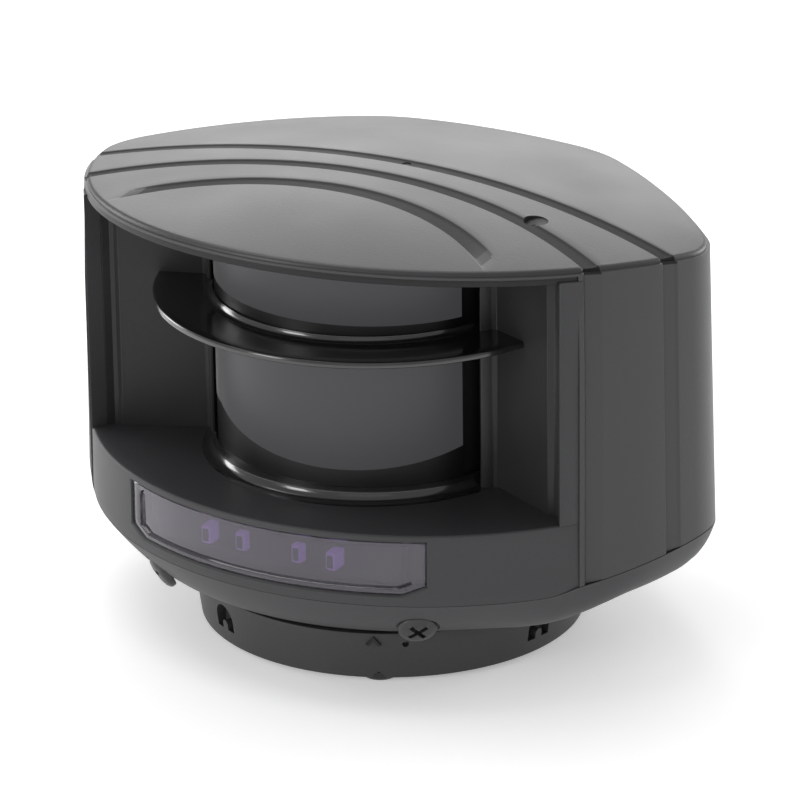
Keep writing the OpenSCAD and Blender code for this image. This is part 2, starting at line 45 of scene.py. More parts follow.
# ------------------------------------------------------------------ materials
def new_mat(name, base, rough, spec=0.5, metal=0.0, coat=0.0, coat_rough=0.1, grain=900.0, bump=0.05,
            vary=0.12, mottle=60.0, rough_vary=0.06, wear=0.0, wear_col=(0.3, 0.3, 0.3), dust=0.0, alpha=1.0,
            transmission=0.0, ior=1.5, stretch=(1, 1, 1), bump_dist=0.0001):
    m = bpy.data.materials.new(name)
    m.use_nodes = True
    nt = m.node_tree
    b = nt.nodes["Principled BSDF"]
    b.inputs["Metallic"].default_value = metal
    b.inputs["Specular IOR Level"].default_value = spec
    b.inputs["Coat Weight"].default_value = coat
    b.inputs["Coat Roughness"].default_value = coat_rough
    b.inputs["Alpha"].default_value = alpha
    b.inputs["Transmission Weight"].default_value = transmission
    b.inputs["IOR"].default_value = ior
    tc = nt.nodes.new("ShaderNodeTexCoord")
    mp = nt.nodes.new("ShaderNodeMapping")
    mp.inputs["Scale"].default_value = stretch
    nt.links.new(tc.outputs["Object"], mp.inputs["Vector"])
    # broad colour variation, in the moulding's flow
    n1 = nt.nodes.new("ShaderNodeTexNoise")
    n1.inputs["Scale"].default_value = mottle
    n1.inputs["Detail"].default_value = 4
    nt.links.new(mp.outputs["Vector"], n1.inputs["Vector"])
    # fine surface grain
    n2 = nt.nodes.new("ShaderNodeTexNoise")
    n2.inputs["Scale"].default_value = grain
    n2.inputs["Detail"].default_value = 3
    nt.links.new(mp.outputs["Vector"], n2.inputs["Vector"])
    mixf = nt.nodes.new("ShaderNodeMath")
    mixf.operation = "MULTIPLY_ADD"
    mixf.inputs[1].default_value = 0.35
    nt.links.new(n2.outputs["Fac"], mixf.inputs[0])
    half = nt.nodes.new("ShaderNodeMath")
    half.operation = "MULTIPLY"
    half.inputs[1].default_value = 0.65
    nt.links.new(n1.outputs["Fac"], half.inputs[0])
    nt.links.new(half.outputs[0], mixf.inputs[2])
    cr = nt.nodes.new("ShaderNodeValToRGB")
    lo = [c * (1 - vary) for c in base[:3]]
    hi = [min(1, c * (1 + vary)) for c in base[:3]]
    cr.color_ramp.elements[0].position = 0.3
    cr.color_ramp.elements[1].position = 0.7
    cr.color_ramp.elements[0].color = (*lo, 1)
    cr.color_ramp.elements[1].color = (*hi, 1)
    nt.links.new(mixf.outputs[0], cr.inputs["Fac"])
    col = cr.outputs["Color"]
    if wear > 0:
        geo = nt.nodes.new("ShaderNodeNewGeometry")
        wr = nt.nodes.new("ShaderNodeValToRGB")
        wr.color_ramp.elements[0].position = 0.52
        wr.color_ramp.elements[1].position = 0.62
        nt.links.new(geo.outputs["Pointiness"], wr.inputs["Fac"])
        n3 = nt.nodes.new("ShaderNodeTexNoise")
        n3.inputs["Scale"].default_value = 160
        nt.links.new(tc.outputs["Object"], n3.inputs["Vector"])
        mu = nt.nodes.new("ShaderNodeMath")
        mu.operation = "MULTIPLY"
        nt.links.new(wr.outputs["Color"], mu.inputs[0])
        nt.links.new(n3.outputs["Fac"], mu.inputs[1])
        mu2 = nt.nodes.new("ShaderNodeMath")
        mu2.operation = "MULTIPLY"
        mu2.inputs[1].default_value = wear
        nt.links.new(mu.outputs[0], mu2.inputs[0])
        mx = nt.nodes.new("ShaderNodeMix")
        mx.data_type = "RGBA"
        nt.links.new(mu2.outputs[0], mx.inputs[0])
        nt.links.new(col, mx.inputs[6])
        mx.inputs[7].default_value = (*wear_col, 1)
        col = mx.outputs[2]
    nt.links.new(col, b.inputs["Base Color"])
    rr = nt.nodes.new("ShaderNodeMapRange")
    rr.inputs["From Min"].default_value = 0.3
    rr.inputs["From Max"].default_value = 0.7
    rr.inputs["To Min"].default_value = max(0.0, rough - rough_vary)
    rr.inputs["To Max"].default_value = min(1.0, rough + rough_vary)
    nt.links.new(n1.outputs["Fac"], rr.inputs["Value"])
    nt.links.new(rr.outputs["Result"], b.inputs["Roughness"])
    if bump > 0:
        bp = nt.nodes.new("ShaderNodeBump")
        bp.inputs["Strength"].default_value = bump
        bp.inputs["Distance"].default_value = bump_dist
        nt.links.new(n2.outputs["Fac"], bp.inputs["Height"])
        nt.links.new(bp.outputs["Normal"], b.inputs["Normal"])
    return m


M = {}
M["hood"] = new_mat("hood_plastic", (0.0340, 0.0343, 0.0362), 0.43, spec=0.54, grain=2200, bump=0.28, vary=0.10, mottle=35, rough_vary=0.04, wear=0.10, wear_col=(0.12, 0.12, 0.12))
M["housing"] = new_mat("housing_plastic", (0.0335, 0.0340, 0.0362), 0.48, spec=0.45, grain=2200, bump=0.35, vary=0.12, mottle=40, rough_vary=0.05, wear=0.10, wear_col=(0.11, 0.11, 0.11))
M["bracket"] = new_mat("bracket_plastic", (0.036, 0.0365, 0.038), 0.52, spec=0.45, grain=2000, bump=0.40, vary=0.14, mottle=50, wear=0.12, wear_col=(0.11, 0.11, 0.11))
M["black_plastic"] = new_mat("black_plastic", (0.010, 0.010, 0.011), 0.30, spec=0.5, grain=1800, bump=0.10, vary=0.12, mottle=60)
M["window"] = new_mat("infrared_pane", (0.032, 0.032, 0.034), 0.45, spec=0.30, grain=300, bump=0.0, vary=0.04, mottle=12, rough_vary=0.02)
M["mask"] = new_mat("printed_black", (0.006, 0.006, 0.006), 0.35, spec=0.4, grain=1200, bump=0.05)
M["seal"] = new_mat("seal_rubber", (0.010, 0.010, 0.010), 0.85, spec=0.2, grain=1200, bump=0.3)
M["foot"] = new_mat("nylon", (0.018, 0.018, 0.020), 0.45, grain=1200, bump=0.1)
M["indicator"] = new_mat("violet_window", (0.325, 0.287, 0.375), 0.06, spec=0.8, transmission=0.90, ior=1.49, coat=0.5, coat_rough=0.04, vary=0.08, mottle=120, grain=400, bump=0.0, rough_vary=0.02)
M["led"] = new_mat("violet_epoxy", (0.62, 0.40, 0.90), 0.15, spec=0.6, vary=0.15, grain=300, bump=0.01)
M["board"] = new_mat("solder_mask", (0.020, 0.110, 0.050), 0.32, spec=0.5, vary=0.2, mottle=200, grain=900, bump=0.1)
M["component"] = new_mat("black_epoxy", (0.016, 0.016, 0.018), 0.5, vary=0.2, grain=1500, bump=0.2)
M["socket"] = new_mat("natural_nylon", (0.62, 0.62, 0.58), 0.4, vary=0.05, grain=900, bump=0.1)
M["ribbon"] = new_mat("grey_ribbon", (0.42, 0.42, 0.41), 0.45, vary=0.1, grain=900, bump=0.2, stretch=(1, 1, 8))
M["chassis"] = new_mat("cast_aluminium", (0.50, 0.51, 0.52), 0.42, metal=0.9, vary=0.1, grain=1400, bump=0.3, mottle=80)
M["steel"] = new_mat("ground_steel", (0.56, 0.56, 0.57), 0.25, metal=1.0, vary=0.08, grain=600, bump=0.1, stretch=(1, 1, 12))
M["lamination"] = new_mat("laminated_steel", (0.24, 0.245, 0.25), 0.4, metal=0.9, vary=0.2, grain=900, bump=0.3, stretch=(0.3, 0.3, 8))
M["copper"] = new_mat("enamelled_copper", (0.50, 0.21, 0.08), 0.28, metal=0.8, vary=0.2, grain=1500, bump=0.5, stretch=(6, 1, 1))
M["magnet"] = new_mat("bonded_ferrite", (0.05, 0.045, 0.042), 0.55, vary=0.2, grain=1500, bump=0.3)
M["mirror"] = new_mat("first_surface_mirror", (0.86, 0.88, 0.89), 0.03, metal=1.0, vary=0.02, grain=200, bump=0.0, rough_vary=0.01)
M["lens"] = new_mat("coated_glass", (0.80, 0.86, 0.90), 0.02, transmission=0.9, ior=1.5, vary=0.03, grain=200, bump=0.0, rough_vary=0.01)
M["filter"] = new_mat("interference_filter", (0.35, 0.04, 0.07), 0.05, coat=0.5, vary=0.1, grain=200, bump=0.0)
M["screw"] = new_mat("black_oxide", (0.040, 0.040, 0.042), 0.40, metal=0.4, vary=0.25, grain=1400, bump=0.2, wear=0.4, wear_col=(0.25, 0.25, 0.25))
M["zinc"] = new_mat("zinc_plate", (0.52, 0.52, 0.50), 0.33, metal=1.0, vary=0.12, grain=900, bump=0.2)
M["gold"] = new_mat("gold_plate", (0.56, 0.37, 0.12), 0.25, metal=1.0, vary=0.1, grain=600, bump=0.05)
M["mark"] = M["mask"]
# Painted shade: a darker colour for the deep slot beside the window posts, where shade falls.
SLOT_SHADE = new_mat("slot_painted_shade", (0.013, 0.013, 0.013), 0.5, spec=0.3, grain=1200, bump=0.05)
# Painted shade: the roof channels' tilted faces catch less light, so they get a darker base colour; the faded end of
# the third channel gets a lighter, in-between painted shade.
CHANNEL_END_SHADE = new_mat("channel_end_painted_shade", (0.017, 0.0172, 0.018), 0.50, spec=0.36, grain=2200, bump=0.2)
CHANNEL_SHADE = new_mat("hood_channel_painted_shade", (0.0075, 0.0077, 0.0083), 0.55, spec=0.26, grain=2200, bump=0.35, vary=0.10, mottle=35, rough_vary=0.04)
# The housing's black plastic, painted a little darker as shade inside the recess.
RECESS_SHADE = new_mat("recess_black_painted_shade", (0.0280, 0.0280, 0.0295), 0.42, spec=0.28, grain=1800, bump=0.15, vary=0.14, mottle=60)
# Painted shade: a darker colour for the underside of the hood's lip and the recess ceiling.
STRIP_SHADE = new_mat("lip_strip_painted_shade", (0.0150, 0.0152, 0.0160), 0.45, spec=0.30, grain=1800, bump=0.15, vary=0.14, mottle=60)
GLOSS = new_mat("fillet_gloss", (0.010, 0.010, 0.011), 0.20, spec=0.62, coat=0.8, coat_rough=0.12, grain=1500, bump=0.03, vary=0.1, mottle=60, rough_vary=0.03)

for key, weight, rough_ in (("window", 1.0, 0.22),):
    pb = M[key].node_tree.nodes["Principled BSDF"]
    pb.inputs["Sheen Weight"].default_value = weight
    pb.inputs["Sheen Roughness"].default_value = rough_
    # The faint emission is painted light: a glow that evens out the shading across the pane.
    pb.inputs["Emission Color"].default_value = (0.95, 0.95, 1.0, 1)
    pb.inputs["Emission Strength"].default_value = 0.035
# The LED bodies' violet emission is painted light: a glow that stands in for the bright glints along the LEDs' edges.
M["led"].node_tree.nodes["Principled BSDF"].inputs["Emission Color"].default_value = (0.55, 0.32, 0.95, 1)
M["led"].node_tree.nodes["Principled BSDF"].inputs["Emission Strength"].default_value = 0.36
# every carried-over CAD node gets its slot's procedural material
slot_of = {s["node"]: s["material_slot"] for s in frame["record"]["subparts"]}
for n, ob in frame["nodes"].items():
    ob.data.materials.clear()
    ob.data.materials.append(M[slot_of[n]])


# ------------------------------------------------------------------ mesh helpers
def make(name, V, F, body, slot, mat=None, rep=(), sharp=40.0, smooth=True, bevel=0.0, seg=2, angle=35.0):
    me = bpy.data.meshes.new(name)
    me.from_pydata([(v[0] * K, v[1] * K, v[2] * K) for v in V], [], F)
    me.validate()
    me.update()
    ob = bpy.data.objects.new(name, me)
    bpy.context.scene.collection.objects.link(ob)
    me.materials.append(mat or M[slot])
    if smooth:
        me.polygons.foreach_set("use_smooth", [True] * len(me.polygons))
        me.set_sharp_from_angle(angle=D(sharp))
    if bevel > 0:
        md = ob.modifiers.new("edge", "BEVEL")
        md.width = bevel * K
        md.segments = seg
        md.limit_method = "ANGLE"
        md.angle_limit = D(angle)
        md.harden_normals = False
    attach(ob, body)
    if rep:
        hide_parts(*rep)
    return ob


def grid(rows, closed=False, flip=False):
    """rows of equal length -> verts, quads. closed joins each row's end to its start."""
    n = len(rows[0])
    V = [p for r in rows for p in r]
    F = []
    for j in range(len(rows) - 1):
        for i in range(n if closed else n - 1):
            a, b = j * n + i, j * n + (i + 1) % n
            f = (a, b, b + n, a + n)
            F.append(f[::-1] if flip else f)
    return V, F


def torus(cols, wrap=True):
    """cols of closed profiles. wrap joins the last column to the first; otherwise the ends are capped."""
    n = len(cols[0])
    V = [p for c in cols for p in c]
    F = []
    m = len(cols)
    for i in range(m if wrap else m - 1):
        for j in range(n):
            a, b = i * n + j, i * n + (j + 1) % n
            c, d = ((i + 1) % m) * n + j, ((i + 1) % m) * n + (j + 1) % n
            F.append((a, b, d, c))
    if not wrap:
        F.append(tuple(range(n))[::-1])
        F.append(tuple((m - 1) * n + j for j in range(n)))
    return V, F


def prism(poly, z0, z1):
    """closed prism from a plan polygon; z1 may be a function of x, y"""
    n = len(poly)
    top = [(x, y, z1(x, y) if callable(z1) else z1) for x, y in poly]
    V = [(x, y, z0) for x, y in poly] + top
    F = [tuple(range(n))[::-1], tuple(range(n, 2 * n))] + [(i, (i + 1) % n, n + (i + 1) % n, n + i) for i in range(n)]
    return V, F


def fix_normals(ob):
    import bmesh
    bm = bmesh.new()
    bm.from_mesh(ob.data)
    bmesh.ops.recalc_face_normals(bm, faces=bm.faces)
    bm.to_mesh(ob.data)
    bm.free()
    return ob


def cut(ob, cutters):
    """boolean difference, applied, so the mesh is final"""
    for c in cutters:
        md = ob.modifiers.new("cut", "BOOLEAN")
        md.operation = "DIFFERENCE"
        md.solver = "EXACT"
        md.object = c
        bpy.context.view_layer.objects.active = ob
        while ob.modifiers[0] != md:
            ob.modifiers.move(len(ob.modifiers) - 1, 0)
        dg = bpy.context.evaluated_depsgraph_get()
        hold = [(m.name, m.show_viewport) for m in ob.modifiers]
        for m_ in ob.modifiers:
            m_.show_viewport = m_ == md
        bpy.context.view_layer.update()
        dg = bpy.context.evaluated_depsgraph_get()
        me = bpy.data.meshes.new_from_object(ob.evaluated_get(dg))
        ob.modifiers.remove(md)
        for m_ in ob.modifiers:
            m_.show_viewport = True
        ob.data = me
    for c in cutters:
        bpy.data.objects.remove(c)
    return ob


def tool(V, F):
    me = bpy.data.meshes.new("tool")
    me.from_pydata([(v[0] * K, v[1] * K, v[2] * K) for v in V], [], F)
    me.update()
    ob = bpy.data.objects.new("tool", me)
    bpy.context.scene.collection.objects.link(ob)
    fix_normals(ob)
    return ob


def revolve_pts(prof, n=96, c=(0, 0), a0=0.0, a1=360.0):
    full = abs(a1 - a0 - 360) < 1e-6
    cols = []
    for k in range(n if full else n + 1):
        t = D(a0 + (a1 - a0) * k / n)
        cols.append([(c[0] + r * math.sin(t), c[1] - r * math.cos(t), z) for r, z in prof])
    return torus(cols, full)


def solid_rev(prof, n=48):
    """closed solid of revolution: prof runs from the axis to the axis, its end points are the poles"""
    V = [(0.0, 0.0, prof[0][1])]
    rings = []
    for r, z in prof[1:-1]:
        rings.append([len(V) + k for k in range(n)])
        V += [(r * math.sin(D(360 * k / n)), -r * math.cos(D(360 * k / n)), z) for k in range(n)]
    V.append((0.0, 0.0, prof[-1][1]))
    F = [(0, rings[0][(k + 1) % n], rings[0][k]) for k in range(n)]
    for a, b in zip(rings, rings[1:]):
        F += [(a[k], a[(k + 1) % n], b[(k + 1) % n], b[k]) for k in range(n)]
    F += [(rings[-1][k], rings[-1][(k + 1) % n], len(V) - 1) for k in range(n)]
    return V, F


def smooth(t):
    t = max(0.0, min(1.0, t))
    return t * t * (3 - 2 * t)


# ------------------------------------------------------------------ the head's plan outline
ARCS = [(62.0, 0, 56), (71.5, 56, 74), (11.5, 74, 134), (193.0, 134, 146), (20.0, 146, 178)]
FRONT = 47.5


def adv(r, a, b):
    a, b = D(a), D(b)
    return (r * (math.sin(b) - math.sin(a)), r * (math.cos(a) - math.cos(b)))


_x0 = 0.0
for r_, a_, b_ in ARCS:
    _x0 += adv(r_, a_, b_)[0]
REAR_R = _x0 / math.sin(D(178))
ALL_ARCS = ARCS + [(REAR_R, 178, 180)]
SEAM = 54.35   # direction on the front arc where the bezel meets the hood's wall


def params(ds):
    out = []
    for k, (r, a, b) in enumerate(ALL_ARCS):
        cuts = [a, SEAM, b] if k == 0 else [a, b]
        for c0, c1 in zip(cuts, cuts[1:]):
            n = max(1, round(r * D(c1 - c0) / ds))
            out += [(k, c0 + (c1 - c0) * i / n) for i in range(n)]
    out.append((5, 180.0))
    return out


def at(o, par):
    k, ph = par
    x, y = 0.0, -FRONT - o
    for r, a, b in ALL_ARCS[:k]:
        dx, dy = adv(r + o, a, b)
        x, y = x + dx, y + dy
    r, a, b = ALL_ARCS[k]
    dx, dy = adv(r + o, a, ph)
    return x + dx, y + dy


def loop(o, P):
    """closed loop: right half front to rear, then left half rear to front"""
    h = [at(o(i) if callable(o) else o, p) for i, p in enumerate(P)]
    return h + [(-x, y) for x, y in h[-2:0:-1]]


def dome(x, y):
    return 84.45 - 0.0018 * x * x - 0.0019 * (y + 13.03) ** 2


GROOVES = [(-214.8, 218.2, 3.2, 99, 0.0), (-110.5, 105.0, 3.3, 99, 0.0), (-72.3, 56.8, 3.7, 31.0, 8.0)]
DEEP = 0.60


def channel(s, w):
    """depth across a channel: it sinks gently from its rear edge and steps up at its front edge"""
    h = w / 2
    if s >= h + 0.15 or s <= -h - 0.12:
        return 0.0
    if s > -h + 0.35:
        return DEEP * min(1.0, smooth((h + 0.15 - s) / 0.6) * (0.25 + 0.75 * (h + 0.15 - s) / (w - 0.2)))
    return DEEP * smooth((s + h + 0.12) / 0.47)


def groove(x, y):
    g = 0.0
    for yc, R, w, xe, fade in GROOVES:
        k = channel(math.hypot(x, y - yc) - R, w)
        if fade:
            k *= smooth((xe + fade - abs(x)) / fade)
        g = max(g, k)
    return g


def off(z):
    return 0.028 * (80 - z)


def crease(x, y):
    """height where the walls turn into the dished underside"""
    r = math.hypot(x, y)
    zs = 20.6 + 0.506 * (r - 54.3) if r > 54.3 else 20.6 - 0.33 * (54.3 - r)
    if y < -19:
        k = smooth((abs(x) - 46) / 5.0)
        return 19.95 * (1 - k) + zs * k
    return zs


# ------------------------------------------------------------------ hood
RR = 0.85          # rounding of the roof's edge
LEDGE = 0.42       # thin ledge that stands out below it
LIP = 1.2


def par_of(u):
    """continuous parameter 0..6 along the arcs -> (arc, direction)"""
    k = min(5, int(u))
    r, a, b = ALL_ARCS[k]
    return (k, a + (b - a) * (u - k))


TIP = 2 + (90.0 - 74.0) / 60.0
SEAM_U = SEAM / 56.0
top_o = off(82) - LEDGE - RR


def u_at_x(x, lo, hi, rising):
    for _ in range(48):
        m = (lo + hi) / 2
        if (at(top_o, par_of(m))[0] < x) == rising:
            lo = m
        else:
            hi = m
    return (lo + hi) / 2


# columns: samples along the front half of the outline, with one at every line of each channel
us = set()
for k, n in ((0, 120), (1, 60), (2, 1)):
    pass
for k in range(3):
    r, a, b = ALL_ARCS[k]
    b2 = min(b, 90.0)
    n = max(8, round(r * D(b2 - a) / 0.7))
    for i in range(n + 1):
        us.add(round(k + (b2 - a) / (b - a) * i / n, 7))
us.add(round(SEAM_U, 7))
LINES = {}
for gi, (yc, R, w, xe, fade) in enumerate(GROOVES):
    h = w / 2
    LINES[gi] = [-h - 0.12, -h + 0.0, -h + 0.12, -h + 0.23, -h + 0.35] + [-h + 0.35 + (w - 0.5) * q / 7 for q in range(1, 7)] + [h - 0.15, h, h + 0.15]
    for sline in LINES[gi]:
        f = lambda u: math.hypot(at(top_o, par_of(u))[0], at(top_o, par_of(u))[1] - yc) - (R + sline)
        grid_u = [TIP * q / 300 for q in range(301)]
        for u0, u1 in zip(grid_u, grid_u[1:]):
            if f(u0) * f(u1) < 0:
                lo, hi = u0, u1
                for _ in range(40):
                    m = (lo + hi) / 2
                    if f(lo) * f(m) <= 0:
                        hi = m
                    else:
                        lo = m
                us.add(round((lo + hi) / 2, 7))
us = sorted(u for u in us if u <= TIP - 0.004)
keep = [us[0]]
for u in us[1:]:
    if u - keep[-1] > 1e-4 or abs(u - SEAM_U) < 1e-6:
        keep.append(u)
us = keep
xs_r = [at(top_o, par_of(u))[0] for u in us]
rear_u = [u_at_x(x, TIP, 6.0, False) if x > 1e-6 else 6.0 for x in xs_r]
# closed loop of (u, side): right front 0..tip, right rear tip..6, left rear, left front
LOOP = [(u, 1) for u in us] + [(TIP, 1)] + [(u, 1) for u in rear_u[::-1]] + [(u, -1) for u in rear_u[1:]] + [(TIP, -1)] + [(u, -1) for u in us[:0:-1]]
N = len(LOOP)


def ring_xy(o):
    out = []
    for u, sd in LOOP:
        x, y = at(o, par_of(u))
        out.append((sd * x, y))
    return out


is_front = [u <= SEAM_U + 1e-6 for u, sd in LOOP]
inset = ring_xy(top_o)
gcol = [groove(x, y) for x, y in inset]
for i, (u, sd) in enumerate(LOOP):
    if u > TIP + 0.02:
        gcol[i] = 0.0
o0, o1 = ring_xy(0.0), ring_xy(1.0)
norm = [(o1[i][0] - o0[i][0], o1[i][1] - o0[i][1]) for i in range(N)]

# roof: columns at constant x, rows along the channels
cols_x = [-x for x in xs_r[:0:-1]] + xs_r
ncol = len(cols_x)
V, F = [], []
index = {}


def vid(x, y, z):
    key = (round(x, 4), round(y, 4))
    if key not in index:
        index[key] = len(V)
        V.append((x, y, z))
    return index[key]


yf = {}
yr = {}
for x, u, ru in zip(xs_r, us, rear_u):
    yf[round(x, 6)] = at(top_o, par_of(u))[1]
    yr[round(x, 6)] = at(top_o, par_of(ru))[1]


def rows_at(x):
    a, b = yf[round(abs(x), 6)], yr[round(abs(x), 6)]

    def on(gi, sl):
        yc, R = GROOVES[gi][0], GROOVES[gi][1] + sl
        d2 = R * R - x * x
        return yc + math.sqrt(d2) if d2 > 0 else -1e3
    ys = [a]
    keys = []
    for gi in (2, 1, 0):
        keys.append([on(gi, sl) for sl in LINES[gi]])
    clampy = lambda y: min(max(y, a), b)
    segs = [(a, clampy(keys[0][0]), 26), None, (clampy(keys[0][-1]), clampy(keys[1][0]), 6), None, (clampy(keys[1][-1]), clampy(keys[2][0]), 6), None, (clampy(keys[2][-1]), b, 30)]
    for k, sg in enumerate(segs):
        if sg:
            p0, p1, n = sg
            ys += [p0 + (p1 - p0) * q / n for q in range(1, n + 1)]
        else:
            ys += [clampy(y) for y in keys[k // 2][1:]]
    return ys


grid_ids = []
for x in cols_x:
    grid_ids.append([vid(x, y, dome(x, y) - groove(x, y)) for y in rows_at(x)])
for c0, c1 in zip(grid_ids, grid_ids[1:]):
    for j in range(len(c0) - 1):
        f = []
        for q in (c0[j], c1[j], c1[j + 1], c0[j + 1]):
            if q not in f:
                f.append(q)
        if len(f) >= 3:
            F.append(tuple(f))
# boundary ids in loop order; the two tips get their own vertex
bnd = []
for i, (u, sd) in enumerate(LOOP):
    x, y = inset[i]
    key = (round(x, 4), round(y, 4))
    near = index.get(key)
    if near is None:
        if abs(u - TIP) < 1e-9:
            near = vid(x, y, dome(x, y) - gcol[i])
        else:
            best = min(grid_ids, key=lambda c: abs(V[c[0]][0] - x))
            near = best[0] if u < TIP else best[-1]
    bnd.append(near)
for sd in (1, -1):
    tip = [i for i, q in enumerate(LOOP) if abs(q[0] - TIP) < 1e-9 and q[1] == sd][0]
    last = grid_ids[-1] if sd > 0 else grid_ids[0]
    seen = [last[0]]
    for q in last[1:]:
        if q != seen[-1]:
            F.append((seen[-1], q, bnd[tip]))
            seen.append(q)


def add_ring(ring):
    s_ = len(V)
    V.extend(ring)
    return [s_ + i for i in range(N)]


def strip(r0, r1, cond=None):
    for i in range(N):
        j = (i + 1) % N
        if cond and not cond(i, j):
            continue
        f = []
        for q in (r0[i], r0[j], r1[j], r1[i]):
            if q not in f:
                f.append(q)
        if len(f) >= 3:
            F.append(tuple(f))


prev = bnd
ez = [dome(x, y) for x, y in inset]
for a in (18, 36, 54, 72, 90):
    k = math.sin(D(a))
    L = ring_xy(top_o + RR * k)
    cur = add_ring([(L[i][0] - norm[i][0] * gcol[i] * k, L[i][1] - norm[i][1] * gcol[i] * k, ez[i] - RR * (1 - math.cos(D(a))) - gcol[i] * (1 - k)) for i in range(N)])
    strip(prev, cur)
    prev = cur


def seam_off(k, ph, z):
    """offset of the wall: full draft at the sides, flush with the bezel at the seam"""
    if k > 1 or ph >= SEAM + 12:
        return off(z)
    t = smooth((ph - SEAM) / 12.0)
    return off(z) * t + min(off(z), 0.55) * (1 - t)


def wall_ring(zf, inward=0.0):
    ring = []
    for i in range(N):
        z = zf(i)
        g = gcol[i] + inward
        o = seam_off(*par_of(LOOP[i][0]), z)
        ring.append((o0[i][0] + norm[i][0] * (o - g), o0[i][1] + norm[i][1] * (o - g), z))
    return ring


for dz, inw in ((RR, LEDGE), (RR + 0.03, 0.06), (RR + 0.09, 0.0)):
    cur = add_ring(wall_ring(lambda i: ez[i] - dz, inw))
    strip(prev, cur)
    prev = cur
cur = add_ring(wall_ring(lambda i: ez[i] - LIP - 0.1))
strip(prev, cur)
prev = cur
lip_ids = cur
fr = lambda i, j: is_front[i] and is_front[j]
nf = lambda i, j: not fr(i, j)
s3 = add_ring(wall_ring(lambda i: ez[i] - LIP - 0.22, 0.12))
s4 = add_ring(wall_ring(lambda i: ez[i] - LIP - 0.22, 2.2))
strip(lip_ids, s3, fr)
strip(s3, s4, fr)
zb = []
for i in range(N):
    o = seam_off(*par_of(LOOP[i][0]), 22.0)
    zb.append(crease(o0[i][0] + norm[i][0] * o, o0[i][1] + norm[i][1] * o))
walls = [lip_ids]
for v in (0.06, 0.15, 0.3, 0.45, 0.6, 0.75, 0.88, 0.97, 1.0):
    cur = add_ring(wall_ring(lambda i: (ez[i] - LIP) * (1 - v) + (zb[i] + 0.14) * v))
    strip(prev, cur, nf)
    walls.append(cur)
    prev = cur
s5 = add_ring(wall_ring(lambda i: zb[i] + 0.04, 0.10))
s6 = add_ring(wall_ring(lambda i: zb[i] + 0.04, 2.0))
s7 = add_ring(wall_ring(lambda i: ez[i] - 2.8, 2.0))
strip(prev, s5, nf)
strip(s5, s6, nf)
strip(s6, s7, nf)
s8 = add_ring([(V[q][0] * 0.5, V[q][1] * 0.5, dome(V[q][0] * 0.5, V[q][1] * 0.5) - 2.0) for q in s7])
V.append((0, 0, dome(0, 0) - 2.0))
ic = len(V) - 1
strip(s7, s8, nf)
strip(s4, s8, fr)
for i in range(N):
    F.append((s8[i], s8[(i + 1) % N], ic))
# close the walls' front edges
for i in range(N):
    j = (i + 1) % N
    if is_front[i] != is_front[j]:
        e_ = i if is_front[i] else j
        F.append(tuple([w_[e_] for w_ in walls] + [s5[e_], s6[e_], s7[e_], s4[e_], s3[e_]]))
        F.append((s7[e_], s8[e_], s4[e_]))
used = sorted({q for f in F for q in f})
remap = {o: n for n, o in enumerate(used)}
V = [V[i] for i in used]
F = [tuple(remap[q] for q in f) for f in F]
hood = fix_normals(make("hood_shell", V, F, "head", "hood", rep=["hood"], sharp=32))
# two dimples in the roof: a half-moon and a small round one
dimples = []
for (dx_, dy_), dr, dd in (((35.0, -8.7), 2.15, 0.75), ((2.0, 3.4), 0.85, 0.5)):
    v, f = solid_rev([(0, -dd), (dr, -dd), (dr, 4.0), (0, 4.0)], 40)
    zt = dome(dx_, dy_)
    tl = D(12) if dr > 1 else 0.0
    v = [(dx_ + x, dy_ + y * math.cos(tl) - z * math.sin(tl), zt + z * math.cos(tl) + y * math.sin(tl)) for x, y, z in v]
    dimples.append(tool(v, f))
cut(hood, dimples)
# Faces in the channels get the darker painted shade, and those at the faded end of the third channel get the in-between
# painted shade.
hood.data.materials.clear()
hood.data.materials.append(M["hood"])
hood.data.materials.append(CHANNEL_SHADE)
hood.data.materials.append(CHANNEL_END_SHADE)
for pg in hood.data.polygons:
    c_ = pg.center
    g_ = soft = 0
    if c_.z > 0.066 or abs(c_.x) > 0.05:
        ux, uy = c_.x / K, c_.y / K
        if c_.z > dome(ux, uy) * K - 0.0012:
            g_ = groove(ux, uy)
            if abs(ux) > 34.6 and abs(math.hypot(ux, uy + 72.3) - 56.8) < 3:
                soft = 1
                if abs(ux) > 37.0:
                    g_ = 0
    pg.material_index = (2 if soft else 1) if g_ > 0.06 else 0
hood.data.polygons.foreach_set("use_smooth", [True] * len(hood.data.polygons))
hood.data.set_sharp_from_angle(angle=D(32))


# ------------------------------------------------------------------ dished bottom housing
SC = {}
PB = params(1.3)
CB0 = loop(lambda i: off(22), PB)


def o_crease(i):
    i = min(i, len(PB) - 1)
    k, ph = PB[i]
    if k > 1 or ph > SEAM:
        return seam_off(k, ph, crease(*CB0[i]))
    t = smooth((ph - SEAM + 4.5) / 4.5)
    return 0.22 * (1 - t) + 0.55 * t


